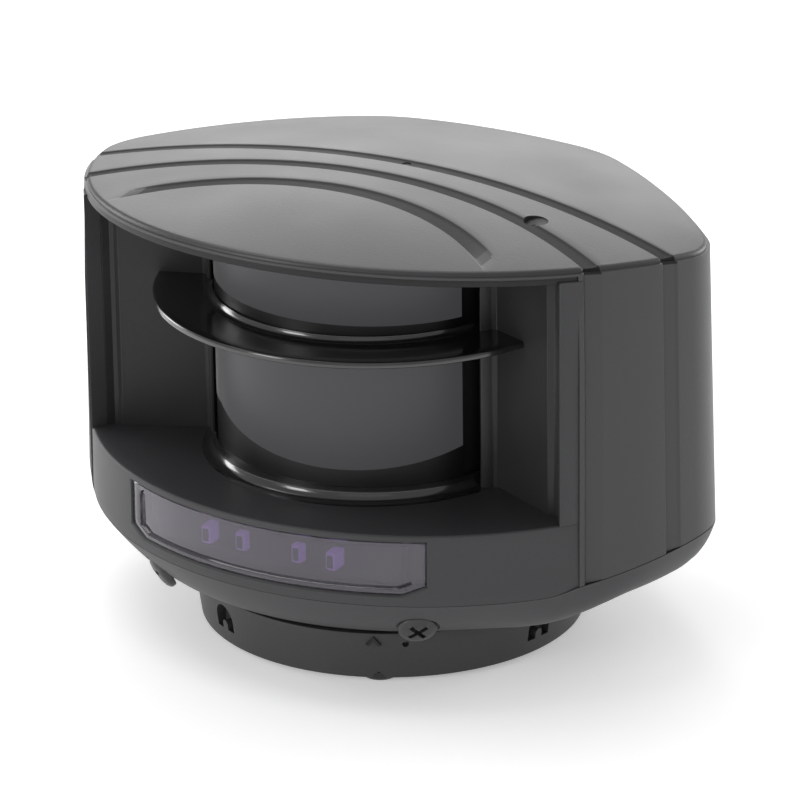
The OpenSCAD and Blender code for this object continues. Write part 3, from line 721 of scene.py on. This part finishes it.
cb = loop(o_crease, PB)
cols = []
for x, y in cb:
    zc = crease(x, y)
    th = math.atan2(y, x)
    rx, ry = 38.6 * math.cos(th), 38.6 * math.sin(th)
    z0 = 9.4 + 0.055 * abs(ry)
    # full and round at the front corners, nearly straight with a tight edge at the sides and back
    ex = 2.0 + 3.8 * smooth((math.hypot(x, y) - 51.0) / 9.0)
    tb = smooth((y + 28.0) / 18.0)
    fu = lambda u: (1 - tb) * u ** ex + tb * (0.62 * u ** 1.1 + 0.38 * u ** 12)
    col = [(x, y, zc)]
    for u in (0.985, 0.965, 0.93, 0.89, 0.84, 0.78, 0.71, 0.63, 0.54, 0.44, 0.34, 0.24, 0.14, 0.06, 0.0):
        col.append((rx + (x - rx) * u, ry + (y - ry) * u, z0 + (zc - z0) * fu(u)))
    q = lambda r: (r * math.cos(th), r * math.sin(th))
    col += [(*q(38.3), z0 - 0.12 if abs(ry) > 2 else z0), (*q(36.9), z0), (*q(36.7), 12.6), (*q(24), 12.6), (*q(24), 14.4), (*q(36.5), 14.6)]
    for u in (0.3, 0.6, 0.85):
        col.append((rx + (x * 0.96 - rx) * u, ry + (y * 0.96 - ry) * u, z0 + 2.8 - 1.2 * tb + (zc - z0 - 2.5) * fu(u)))
    col.append((x * 0.965, y * 0.965, zc))
    cols.append(col)
V, F = torus(cols)
bowl = fix_normals(make("bottom_shell", V, F, "head", "housing", rep=["bottom_housing"], sharp=50))
pockets = []


def at_screw(s, pts):
    Mx = Matrix.Translation((s * 27.05, -37.23, 13.3)) @ Matrix.Rotation(D(s * 36), 4, "Z") @ Matrix.Rotation(D(120), 4, "X")
    return [tuple(Mx @ Vector(p)) for p in pts]


for s in (-1, 1):
    v, f = solid_rev([(0, -1.6), (3.9, -1.6), (4.1, 9.0), (0, 9.0)], 48)
    pockets.append(tool(at_screw(s, v), f))
cut(bowl, pockets)
# floor of the housing with the socket opening, and its lugs for the tilt pins
prof = [(7.0, 11.5), (24.2, 11.5), (24.2, 13.6), (7.0, 13.6)]
cols = []
for k in range(96):
    t = D(360 * k / 96)
    ix, iy = 7 * math.sin(t), 18.4 - 7 * math.cos(t)
    ox, oy = 24.2 * math.sin(t), -24.2 * math.cos(t)
    if math.hypot(ix, iy) > 24.19:
        ix, iy = ix * 24.19 / math.hypot(ix, iy), iy * 24.19 / math.hypot(ix, iy)
    cols.append([(ix, iy, 11.5), (ox * 1.02, oy * 1.02, 12.4), (ox * 1.02, oy * 1.02, 13.6), (ix, iy, 13.6)])
V, F = torus(cols)
fix_normals(make("housing_floor", V, F, "head", "housing", sharp=40))
for s in (-1, 1):
    lug = []
    for k in range(25):
        t = D(-90 + 180 * k / 24 + 180)
        lug.append((2.1 * math.sin(t - D(90)) * 1.0, 8.6 + 2.1 * -abs(math.cos(t - D(90)))))
    sec = [(-4.2, 12.7), (-4.2, 9.4)] + [(2.1 * math.sin(D(-90 + 180 * k / 16)) , 8.6 - 2.1 * math.cos(D(-90 + 180 * k / 16))) for k in range(17)] + [(4.2, 9.4), (4.2, 12.7)]
    x0, x1 = s * 28.5 - 1.3, s * 28.5 + 1.3
    V, F = torus([[(x0, y, z) for y, z in sec], [(x1, y, z) for y, z in sec]], False)
    fix_normals(make("tilt_lug_%s" % ("l" if s < 0 else "r"), V, F, "head", "housing", bevel=0.15))


# ------------------------------------------------------------------ front bezel
AC = 14.47
RB = 62.15


def arc_y(x, R):
    return AC - math.sqrt(max(0.0, R * R - x * x))


def rb(z):
    return RB + 0.012 * (33.3 - z)


SY = -6.2
FL = 33.3
xs = []
nb = 150
for k in range(nb + 1):
    xs.append(-51.0 + 102.0 * k / nb)
cols = []
for x in xs:
    zc = crease(x, arc_y(x, RB)) + 0.05
    col = []
    # lower edge, front skin, rounded top edge
    zz = [zc, zc + 0.25] + [zc + 0.25 + (FL - 0.45 - zc - 0.25) * k / 8 for k in range(1, 9)]
    for z in zz:
        R = rb(z) - (0.15 if z == zc else 0)
        col.append((x, arc_y(x, R), z))
    for a in (22, 45, 68, 90):
        R = rb(FL) - 0.45 + 0.45 * math.cos(D(a))
        col.append((x, arc_y(x, R), FL - 0.45 + 0.45 * math.sin(D(a))))
    y0 = arc_y(x, rb(FL) - 0.45)
    d = abs(x)
    yb = min(-12.0, SY - math.sqrt(max(0, 30.2 ** 2 - d * d))) if d < 29.6 else -12.0
    if y0 > yb - 0.5:
        yb = y0 + 6
    for k in range(1, 9):
        col.append((x, y0 + (yb - y0) * k / 8, FL))
    col.append((x, yb, FL - 1.5))
    col.append((x, arc_y(x, rb(FL) - 2.4), FL - 1.5))
    col.append((x, arc_y(x, rb(zc) - 2.4), zc))
    cols.append(col)
V, F = torus(cols, False)
band = fix_normals(make("front_band", V, F, "head", "housing", rep=["front_bezel"], sharp=35))


def slab(x, z0, z1, y0, y1, c):
    sec = [(-x, z1), (x, z1), (x, z0 + c * 0.45), (x - c, z0), (-x + c, z0), (-x, z0 + c * 0.45)]
    return torus([[(px, y0, pz) for px, pz in sec], [(px, y1, pz) for px, pz in sec]], False)


cut(band, [tool(*slab(30.9, 21.7, 32.4, -60, -34, 3.9))])
band.data.polygons.foreach_set("use_smooth", [True] * len(band.data.polygons))
band.data.set_sharp_from_angle(angle=D(35))


# bevelled frame round the indicator window
def frame_loop(g, back):
    """aperture outline grown by g, on the band's surface set back by back"""
    x, z0, z1, c = 30 + g, 22.3 - g, 31.8 + g * 0.7, 3.7
    r = 0.5
    sec = []
    n = 48
    for k in range(n + 1):
        sec.append((-x + 2 * x * k / n, z1))
    for k in range(1, 7):
        sec.append((x, z1 + (z0 + c * 0.45 - z1) * k / 6))
    for k in range(1, 4):
        sec.append((x - c * k / 3, z0 + c * 0.45 * (1 - k / 3)))
    for k in range(1, n + 1):
        sec.append((x - c - 2 * (x - c) * k / n, z0))
    for k in range(1, 4):
        sec.append((-x + c - c * k / 3, z0 + c * 0.45 * k / 3))
    for k in range(1, 6):
        sec.append((-x, z0 + c * 0.45 + (z1 - z0 - c * 0.45) * k / 6))
    return [(px, arc_y(px, rb(pz) - back), pz) for px, pz in sec]


loops = [frame_loop(0.9, 1.6), frame_loop(0.88, 0.02), frame_loop(0.55, -0.03), frame_loop(0.25, 0.25), frame_loop(0.0, 1.0), frame_loop(-0.35, 1.1), frame_loop(-0.35, 1.9)]
cols = [list(c) for c in zip(*loops)]
V, F = torus(cols)
fix_normals(make("indicator_frame", V, F, "head", "housing", sharp=50))

# fillet between floor and window drum, and the drum's collars
def fillet(z, R0, r, up, a=68.0, n=72, name="", zt=None, mat="black_plastic", rep=()):
    prof = [(R0 + r + 0.6, z - 0.6), (R0 + r + 0.6, z + 0.01)]
    for k in range(9):
        t = D(90 * k / 8)
        prof.append((R0 + r - r * math.sin(t), z + 0.01 + r - r * math.cos(t)))
    prof += [(R0, z + up), (R0 - 1.2, z + up), (R0 - 1.2, z - 0.6)]
    V, F = revolve_pts(prof, n, (0, SY), -a, a)
    return fix_normals(make(name, V, F, "head", "black_plastic", mat=mat, sharp=45, rep=rep))


fillet(FL, 28.35, 1.9, 2.6, a=72.0, name="floor_fillet", rep=["window_frame"], mat=GLOSS)

# pillars at each end of the recess
for s in (-1, 1):
    pl = [(48.5, -24.9)]
    for k in range(7):
        x = 48.55 + (51.0 - 48.55) * k / 6
        pl.append((x, arc_y(x, RB + 0.05)))
    pl += [(50.6, -19.8), (47.4, -20.6), (46.7, -22.3)]
    pl = [(s * x, y) for x, y in pl]
    if s < 0:
        pl = pl[::-1]
    V, F = prism(pl, FL - 0.3, lambda x, y: dome(x, y) - 1.9)
    fix_normals(make("pillar_%s" % ("l" if s < 0 else "r"), V, F, "head", "housing", bevel=0.18, sharp=30))
    # splayed wall with its slot
    w = [(46.75, -22.35), (45.9, -21.0), (45.2, -20.7), (44.0, -21.15), (43.4, -20.75), (36.5, -17.3), (30.3, -14.3), (29.4, -14.5), (28.75, -15.5), (28.0, -16.1),
         (27.6, -15.9), (27.3, -12.3), (25.9, -12.3), (24.55, -17.2), (23.95, -17.0), (25.0, -11.5), (25.3, -10.0), (30.0, -10.0), (46.0, -17.0), (50.6, -19.6), (47.4, -21.0)]
    w = [(s * x, y) for x, y in w]
    if s < 0:
        w = w[::-1]
    V, F = prism(w, FL - 0.3, lambda x, y: dome(x, y) - 2.6)
    # The splayed walls use the recess colour, which is darkened by painted shade.
    sw = fix_normals(make("splayed_wall_%s" % ("l" if s < 0 else "r"), V, F, "head", "housing", mat=RECESS_SHADE, bevel=0.14, seg=3, sharp=30))
    sw.data.materials.append(SLOT_SHADE)
    sw.data.materials.append(M["housing"])
    # Vertical faces inside the slot get the darker painted shade, and the posts' front faces get the housing plastic.
    for pg in sw.data.polygons:
        cx_, cy_ = abs(pg.center.x) / K, pg.center.y / K
        if abs(pg.normal.z) < 0.5 and cx_ < 27.9:
            pg.material_index = 1
        elif abs(pg.normal.z) < 0.5 and cy_ < -14.4 and cx_ < 29.4:
            pg.material_index = 2

# strip under the hood's lip and the recess ceiling, darkened by painted shade
cols = []
for x in [-50.6 + 101.2 * k / 120 for k in range(121)]:
    col = []
    for R, dz in ((61.75, 1.25), (61.8, 1.6), (61.8, 2.3), (61.6, 2.45), (59.0, 2.5)):
        y = arc_y(x, R)
        ye = arc_y(x, 62.0)
        col.append((x, y, dome(x, ye) - dz - 0.0))
    y1, y2 = col[-1][1], -4.0
    for k in range(1, 9):
        y = y1 + (y2 - y1) * k / 8
        col.append((x, y, dome(x, y) - 2.75))
    col.append((x, y2, dome(x, y2) - 2.2))
    col.append((x, y1, dome(x, y1) - 1.9))
    cols.append(col)
V, F = torus(cols, False)
fix_normals(make("recess_ceiling", V, F, "head", "housing", mat=STRIP_SHADE, sharp=40))


# ------------------------------------------------------------------ visor between the panes
VC = -4.55
VR = 39.9
cols = []
for k in range(-90, 91):
    t = D(k)
    dx, dy = math.sin(t), -math.cos(t)
    # inner circle (drum) along this ray from the visor's centre
    b = dx * 0 + dy * (VC - SY)
    inner = -b + math.sqrt(b * b - (VC - SY) ** 2 + 28.3 ** 2)
    P0 = lambda r, z: (r * dx, VC + r * dy, z)
    col = [P0(inner, 62.0), P0(inner + 3, 61.95), P0(VR - 6, 61.95), P0(VR - 0.25, 62.0), P0(VR, 62.2), P0(VR, 62.95), P0(VR - 0.12, 63.15), P0(VR - 0.4, 63.25)]
    for m in range(1, 6):
        r = VR - 0.4 + (inner + 1.3 - VR + 0.4) * m / 5
        col.append(P0(r, 63.25 - 0.35 * m / 5))
    for m in range(1, 7):
        a = D(90 * m / 6)
        col.append(P0(inner + 1.3 - 1.3 * math.sin(a), 62.9 + 1.3 - 1.3 * math.cos(a)))
    cols.append(col)
V, F = torus(cols, False)
visor = fix_normals(make("visor_shade", V, F, "head", "black_plastic", mat=GLOSS, rep=["visor"], sharp=45))


# ------------------------------------------------------------------ panes with their printed masks
def pane(name, rep, z_low, z_high, mask_fn, a=65.0):
    cols_g, cols_m = [], []
    n = 96
    for k in range(n + 1):
        d = -a + 2 * a * k / n
        t = D(d)
        p = lambda r, z: (r * math.sin(t), SY - r * math.cos(t), z)
        zm = mask_fn(d)
        cols_g.append([p(28.0, zm), p(28.02, zm + 0.05), p(28.02, z_high), p(26.3, z_high), p(26.3, zm)])
        cols_m.append([p(27.96, z_low), p(27.96, zm), p(26.3, zm), p(26.3, z_low)])
    V, F = torus(cols_g, False)
    fix_normals(make(name, V, F, "head", "window", rep=rep, sharp=40))
    V, F = torus(cols_m, False)
    return fix_normals(make(name + "_mask", V, F, "head", "mask", sharp=40))


pane("lower_pane", ["pane_lower"], 34.0, 62.0, lambda d: min(44.2, 39.05 + 0.00128 * (d - 20.0) ** 2))
pane("upper_pane", ["pane_upper"], 63.3, 81.4, lambda d: 66.25 - 0.55 * math.sin(D(d))).name = "upper_pane_mask"
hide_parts("window_mask")

# ------------------------------------------------------------------ indicator window
def lens_loop(g, gz, back):
    """rounded window outline shrunk by g at the ends and gz at top and bottom, set back by back"""
    x, z0, z1, c = 30.2 - g, 22.1 + gz, 31.95 - gz * 0.7, 3.6 - 0.6 * g
    sec = []
    n = 56
    q = 0.45 * c
    rr_ = 0.35 + 0.4 * g
    for k in range(n + 1):
        sec.append((-x + rr_ + 2 * (x - rr_) * k / n, z1))
    for a in (67, 45, 22):
        sec.append((x - rr_ + rr_ * math.cos(D(a)), z1 - rr_ + rr_ * math.sin(D(a))))
    for k in range(0, 6):
        sec.append((x, z1 - rr_ + (z0 + q - z1 + rr_) * k / 5))
    for k in range(1, 4):
        sec.append((x - c * k / 4, z0 + q * (1 - k / 4)))
    for k in range(0, n + 1):
        sec.append((x - c - 2 * (x - c) * k / n, z0))
    for k in range(1, 4):
        sec.append((-x + c - c * k / 4, z0 + q * k / 4))
    for k in range(0, 6):
        sec.append((-x, z0 + q + (z1 - rr_ - z0 - q) * k / 5))
    for a in (158, 135, 113):
        sec.append((-x + rr_ + rr_ * math.cos(D(a)), z1 - rr_ + rr_ * math.sin(D(a))))
    return [(px, arc_y(px, rb(pz) - back), pz) for px, pz in sec]


lens_rings = [lens_loop(0.0, 0.0, 2.2), lens_loop(0.0, 0.0, 0.75), lens_loop(0.15, 0.12, 0.40), lens_loop(0.40, 0.30, 0.28), lens_loop(2.1, 0.95, 0.28),
              lens_loop(2.3, 1.05, 0.36), lens_loop(2.6, 1.30, 0.85), lens_loop(2.8, 1.45, 0.95)]
V, F = [], []
nl = len(lens_rings[0])
for lr in lens_rings:
    V += lr
for j in range(len(lens_rings) - 1):
    for i in range(nl):
        a, b = j * nl + i, j * nl + (i + 1) % nl
        F.append((a, b, b + nl, a + nl))


def panel_faces(first, flip):
    """fills an outline with strips from its upper run to its lower run"""
    n = 56
    up_ = [first + k for k in range(n + 1)]
    lo_ = [first + (n + 1) + 3 + 6 + 3 + (n - k) for k in range(n + 1)]
    fs = [(up_[k], lo_[k], lo_[k + 1], up_[k + 1]) for k in range(n)]
    rt_ = [up_[n]] + [first + n + 1 + k for k in range(12)] + [lo_[n]]
    lf_ = [lo_[0]] + [first + (n + 1) + 12 + (n + 1) + k for k in range(12)] + [up_[0]]
    fs += [tuple(rt_), tuple(lf_)]
    return [f[::-1] for f in fs] if flip else fs


F += panel_faces(0, True) + panel_faces((len(lens_rings) - 1) * nl, False)
fix_normals(make("indicator_lens", V, F, "head", "indicator", rep=["indicator_window"], sharp=28))
# LED bodies, whose painted glow stands in for the glints on their edges, with a darker window in each face
Vb, Fb, Vf, Ff = [], [], [], []
for x_ in (-12.65, -5.7, 5.7, 12.65):
    def box_(x0, x1, y0, y1, z0, z1, q):
        V8 = [(x0, y0, z0), (x1, y0, z0), (x1, y0, z1), (x0, y0, z1), (x0, y1, z0), (x1, y1, z0), (x1, y1, z1), (x0, y1, z1)]
        return V8, [(0, 1, 2, 3), (7, 6, 5, 4), (0, 4, 5, 1), (1, 5, 6, 2), (2, 6, 7, 3), (3, 7, 4, 0)]
    v8, f6 = box_(x_ - 1.0, x_ + 1.0, -42.4, -38.7, 24.4, 27.8, 0)
    Fb += [tuple(i + len(Vb) for i in f) for f in f6]
    Vb += v8
    v8, f6 = box_(x_ - 0.62, x_ + 0.52, -42.55, -42.3, 24.85, 27.2, 0)
    Ff += [tuple(i + len(Vf) for i in f) for f in f6]
    Vf += v8
fix_normals(make("led_bodies", Vb, Fb, "head", "led", rep=["indicator_leds"], bevel=0.28, seg=3, sharp=50))
fix_normals(make("led_windows", Vf, Ff, "head", "led", mat=new_mat("led_window", (0.10, 0.085, 0.14), 0.2, grain=300, bump=0.0), bevel=0.08, seg=2, sharp=50))
# light well behind the window
cols = []
for k in range(n + 1):
    x = -30.6 + 61.2 * k / n
    cols.append([(x, arc_y(x, rb(27) - 2.5), 21.6), (x, arc_y(x, rb(27) - 6.6), 22.6), (x, arc_y(x, rb(27) - 6.6), 31.6), (x, arc_y(x, rb(27) - 2.5), 32.2),
                 (x, arc_y(x, rb(27) - 2.5), 32.5), (x, arc_y(x, rb(27) - 7.4), 32.0), (x, arc_y(x, rb(27) - 7.4), 22.0), (x, arc_y(x, rb(27) - 2.5), 21.3)])
V, F = torus(cols, False)
well = fix_normals(make("light_well", V, F, "head", "indicator", mat=new_mat("well_plastic", (0.038, 0.031, 0.050), 0.35, vary=0.35, mottle=110, grain=300, bump=0.0, stretch=(1, 1, 5)), sharp=40))

# ------------------------------------------------------------------ bracket ring
rt = frame["record"]
prof = [(0.01, 0.0), (35.0, 0.0), (35.15, 0.12), (35.75, 4.5), (36.3, 8.85), (36.2, 9.05), (36.0, 9.1), (35.0, 9.1), (33.4, 7.6), (33.4, 7.4)]
cols = []
NR = 240
for k in range(NR):
    t = D(360 * k / NR)
    col = []
    for r, z in [(35.0, 0.0), (35.15, 0.12), (35.45, 2.3), (35.75, 4.5), (36.05, 6.7), (36.28, 8.8), (36.2, 9.0), (36.0, 9.1), (35.0, 9.1), (33.4, 7.6), (34.4, 7.55), (34.4, 6.2), (33.4, 6.15), (33.4, 3.0), (27.0, 3.0), (27.0, 3.7), (23.5, 3.7), (23.5, 3.0), (7.0, 3.0), (7.0, 0.0)]:
        col.append((r * math.sin(t), -r * math.cos(t), z))
    cols.append(col)
V, F = torus(cols)
ringo = fix_normals(make("bracket_ring", V, F, "bracket", "bracket", rep=["mounting_bracket"], sharp=35))
TURN = 25.0
tools = []


def rotz(pts, deg):
    c_, s_ = math.cos(D(deg)), math.sin(D(deg))
    return [(x * c_ - y * s_, x * s_ + y * c_, z) for x, y, z in pts]


def arch(w, z0, z1, y0=-45, y1=-30):
    sec = [(-w / 2, z0), (w / 2, z0)] + [(w / 2 * math.cos(D(a)), z1 - w / 2 + w / 2 * math.sin(D(a))) for a in range(0, 181, 15)]
    return torus([[(x, y0, z) for x, z in sec], [(x, y1, z) for x, z in sec]], False)


for k in (-52.5, 52.5, 127.5, 232.5):
    w_o, w_i, zl_ = 2.75, 0.80, 2.7
    sec = [(-w_o, zl_), (-w_o, 4.6)] + [(w_o * math.cos(D(a)), 4.8 + w_o * math.sin(D(a))) for a in range(180, -1, -12)] + [(w_o, zl_), (w_i, zl_)]
    sec += [(w_i * math.cos(D(a)), 3.7 + w_i * math.sin(D(a))) for a in range(0, 181, 20)] + [(-w_i, zl_)]
    v, f = torus([[(x, -45, z) for x, z in sec], [(x, -33.9, z) for x, z in sec]], False)
    tools.append(tool(rotz(v, TURN + k), f))
v, f = solid_rev([(0, -3.0), (0.6, -3.0), (0.6, 3.0), (0, 3.0)], 24)
tools.append(tool(rotz([(x, -35.9 + z, 6.9 + y) for x, y, z in v], TURN + 9), f))
for k in range(4):
    v, f = solid_rev([(0, -1), (2.25, -1), (2.25, 5), (0, 5)], 32)
    tools.append(tool(rotz([(x, y - 17.5, z) for x, y, z in v], TURN + 45 + 90 * k), f))
    v, f = solid_rev([(0, -1), (3.8, -1), (3.8, 1.5), (1.56, 1.5), (1.56, 5), (0, 5)], 40)
    tools.append(tool(rotz([(x, y - 31.5, z) for x, y, z in v], 26.2 + 90 * k), f))
cut(ringo, tools)
ringo.data.polygons.foreach_set("use_smooth", [True] * len(ringo.data.polygons))
ringo.data.set_sharp_from_angle(angle=D(35))
# raised caret mark
Vc, Fc = [], []
for s in (-1, 1):
    sec = [(0, 8.5), (s * 1.35, 6.9), (s * 0.85, 6.7), (0, 7.7)]
    st = len(Vc)
    for dy in (-36.62, -35.9):
        Vc += rotz([(x, dy, z) for x, z in sec], TURN)
    Fc += [(st, st + 1, st + 2, st + 3), (st + 7, st + 6, st + 5, st + 4)] + [(st + i, st + (i + 1) % 4, st + 4 + (i + 1) % 4, st + 4 + i) for i in range(4)]
fix_normals(make("caret_mark", Vc, Fc, "bracket", "mask", sharp=30))

# ------------------------------------------------------------------ tilt screws
for s, nm, body in ((-1, "tilt_screw_left", "screw_l"), (1, "tilt_screw_right", "screw_r")):
    prof = [(0, -9.0), (2.0, -9.0), (2.0, -1.5), (3.3, -1.5), (3.45, -1.35), (3.45, -0.7), (3.2, -0.35), (2.6, 0.0), (1.6, 0.2), (0, 0.25)]
    v, f = solid_rev(prof, 64)
    ob = fix_normals(make(nm + "_head", at_screw(s, [(x, y, z - 0.25) for x, y, z in v]), f, body, "screw", rep=[nm], sharp=40))
    cr = []
    for a in (0, 90):
        b = [(-1.9, -0.38, -0.9), (1.9, -0.38, -0.9), (1.9, 0.38, -0.9), (-1.9, 0.38, -0.9), (-2.15, -0.45, 1.0), (2.15, -0.45, 1.0), (2.15, 0.45, 1.0), (-2.15, 0.45, 1.0)]
        b = rotz(b, a + 40)
        b = [(x, y, z - 0.25) for x, y, z in b]
        cr.append(tool(at_screw(s, b), [(0, 3, 2, 1), (4, 5, 6, 7), (0, 1, 5, 4), (1, 2, 6, 5), (2, 3, 7, 6), (3, 0, 4, 7)]))
    cut(ob, cr)

# ------------------------------------------------------------------ floor, lights, camera
def stage_plane():
    me = bpy.data.meshes.new("studio_floor")
    V, F = grid([[(x * 3.0, y, z) for x in (-1, 1)] for y, z in [(-3.0, -0.0008), (2.0, -0.0008)] + [(2.0 + 1.0 * math.sin(D(a)), -0.0008 + 1.0 * (1 - math.cos(D(a)))) for a in (15, 30, 45, 60, 75, 90)] + [(3.0, 3.5)]])
    me.from_pydata(V, [], F)
    ob = bpy.data.objects.new("studio_floor", me)
    bpy.context.scene.collection.objects.link(ob)
    m = new_mat("pale_floor", (0.93, 0.93, 0.93), 0.9, spec=0.1, vary=0.004, mottle=2, grain=50, bump=0.0, rough_vary=0.0)
    m.node_tree.nodes["Principled BSDF"].inputs["Emission Color"].default_value = (1, 1, 1, 1)
    m.node_tree.nodes["Principled BSDF"].inputs["Emission Strength"].default_value = 0.32
    me.materials.append(m)
    me.polygons.foreach_set("use_smooth", [True] * len(me.polygons))


stage_plane()


def area(name, loc, target, size, power, size_y=None, col=(1, 1, 1)):
    ld = bpy.data.lights.new(name, "AREA")
    ld.energy = power
    ld.color = col
    ld.size = size
    if size_y:
        ld.shape = "RECTANGLE"
        ld.size_y = size_y
    ob = bpy.data.objects.new(name, ld)
    ob.location = loc
    ob.rotation_mode = "QUATERNION"
    ob.rotation_quaternion = (Vector(target) - Vector(loc)).to_track_quat("-Z", "Y")
    bpy.context.scene.collection.objects.link(ob)


area("overhead", (-0.30, 0.1, 1.0), (0, 0, 0.05), 0.9, 4.3, 0.7)
area("rear", (-0.75, 1.3, 0.55), (0, 0, 0.08), 0.9, 4.6, 0.5)
area("left", (-0.48, -1.02, 0.33), (0, 0, 0.04), 0.32, 2.8, 0.4)
area("left_side", (-1.25, 0.06, 0.24), (0, 0, 0.05), 0.4, 4.3, 0.6)
area("front", (0.5, -1.1, 0.5), (0, 0, 0.04), 0.8, 0.3, 0.6)
area("rim", (0.60, 1.25, 0.25), (0.05, 0, 0.05), 0.4, 7.0, 0.5)
w = bpy.data.worlds.new("studio")
bpy.context.scene.world = w
w.use_nodes = True
w.node_tree.nodes["Background"].inputs[0].default_value = (1, 1, 1, 1)
w.node_tree.nodes["Background"].inputs[1].default_value = 0.50
bpy.context.scene.view_settings.view_transform = "Standard"

a_, e_, r_ = D(30.545), D(21.417), D(-0.751)
back = Vector((math.sin(a_) * math.cos(e_), -math.cos(a_) * math.cos(e_), math.sin(e_)))
C = Vector((2.022, 0, 39.563)) + back * 942.613
right = Vector((math.cos(a_), math.sin(a_), 0))
up = back.cross(right)
R = math.cos(r_) * right + math.sin(r_) * up
U = -math.sin(r_) * right + math.cos(r_) * up
cd = bpy.data.cameras.new("camera")
cd.lens = 234.64
cd.sensor_width = 36
cam = bpy.data.objects.new("camera", cd)
bpy.context.scene.collection.objects.link(cam)
cam.matrix_world = Matrix(((R.x, U.x, back.x, C.x * K), (R.y, U.y, back.y, C.y * K), (R.z, U.z, back.z, C.z * K), (0, 0, 0, 1)))
cd.clip_start, cd.clip_end = 0.05, 20
bpy.context.scene.camera = cam
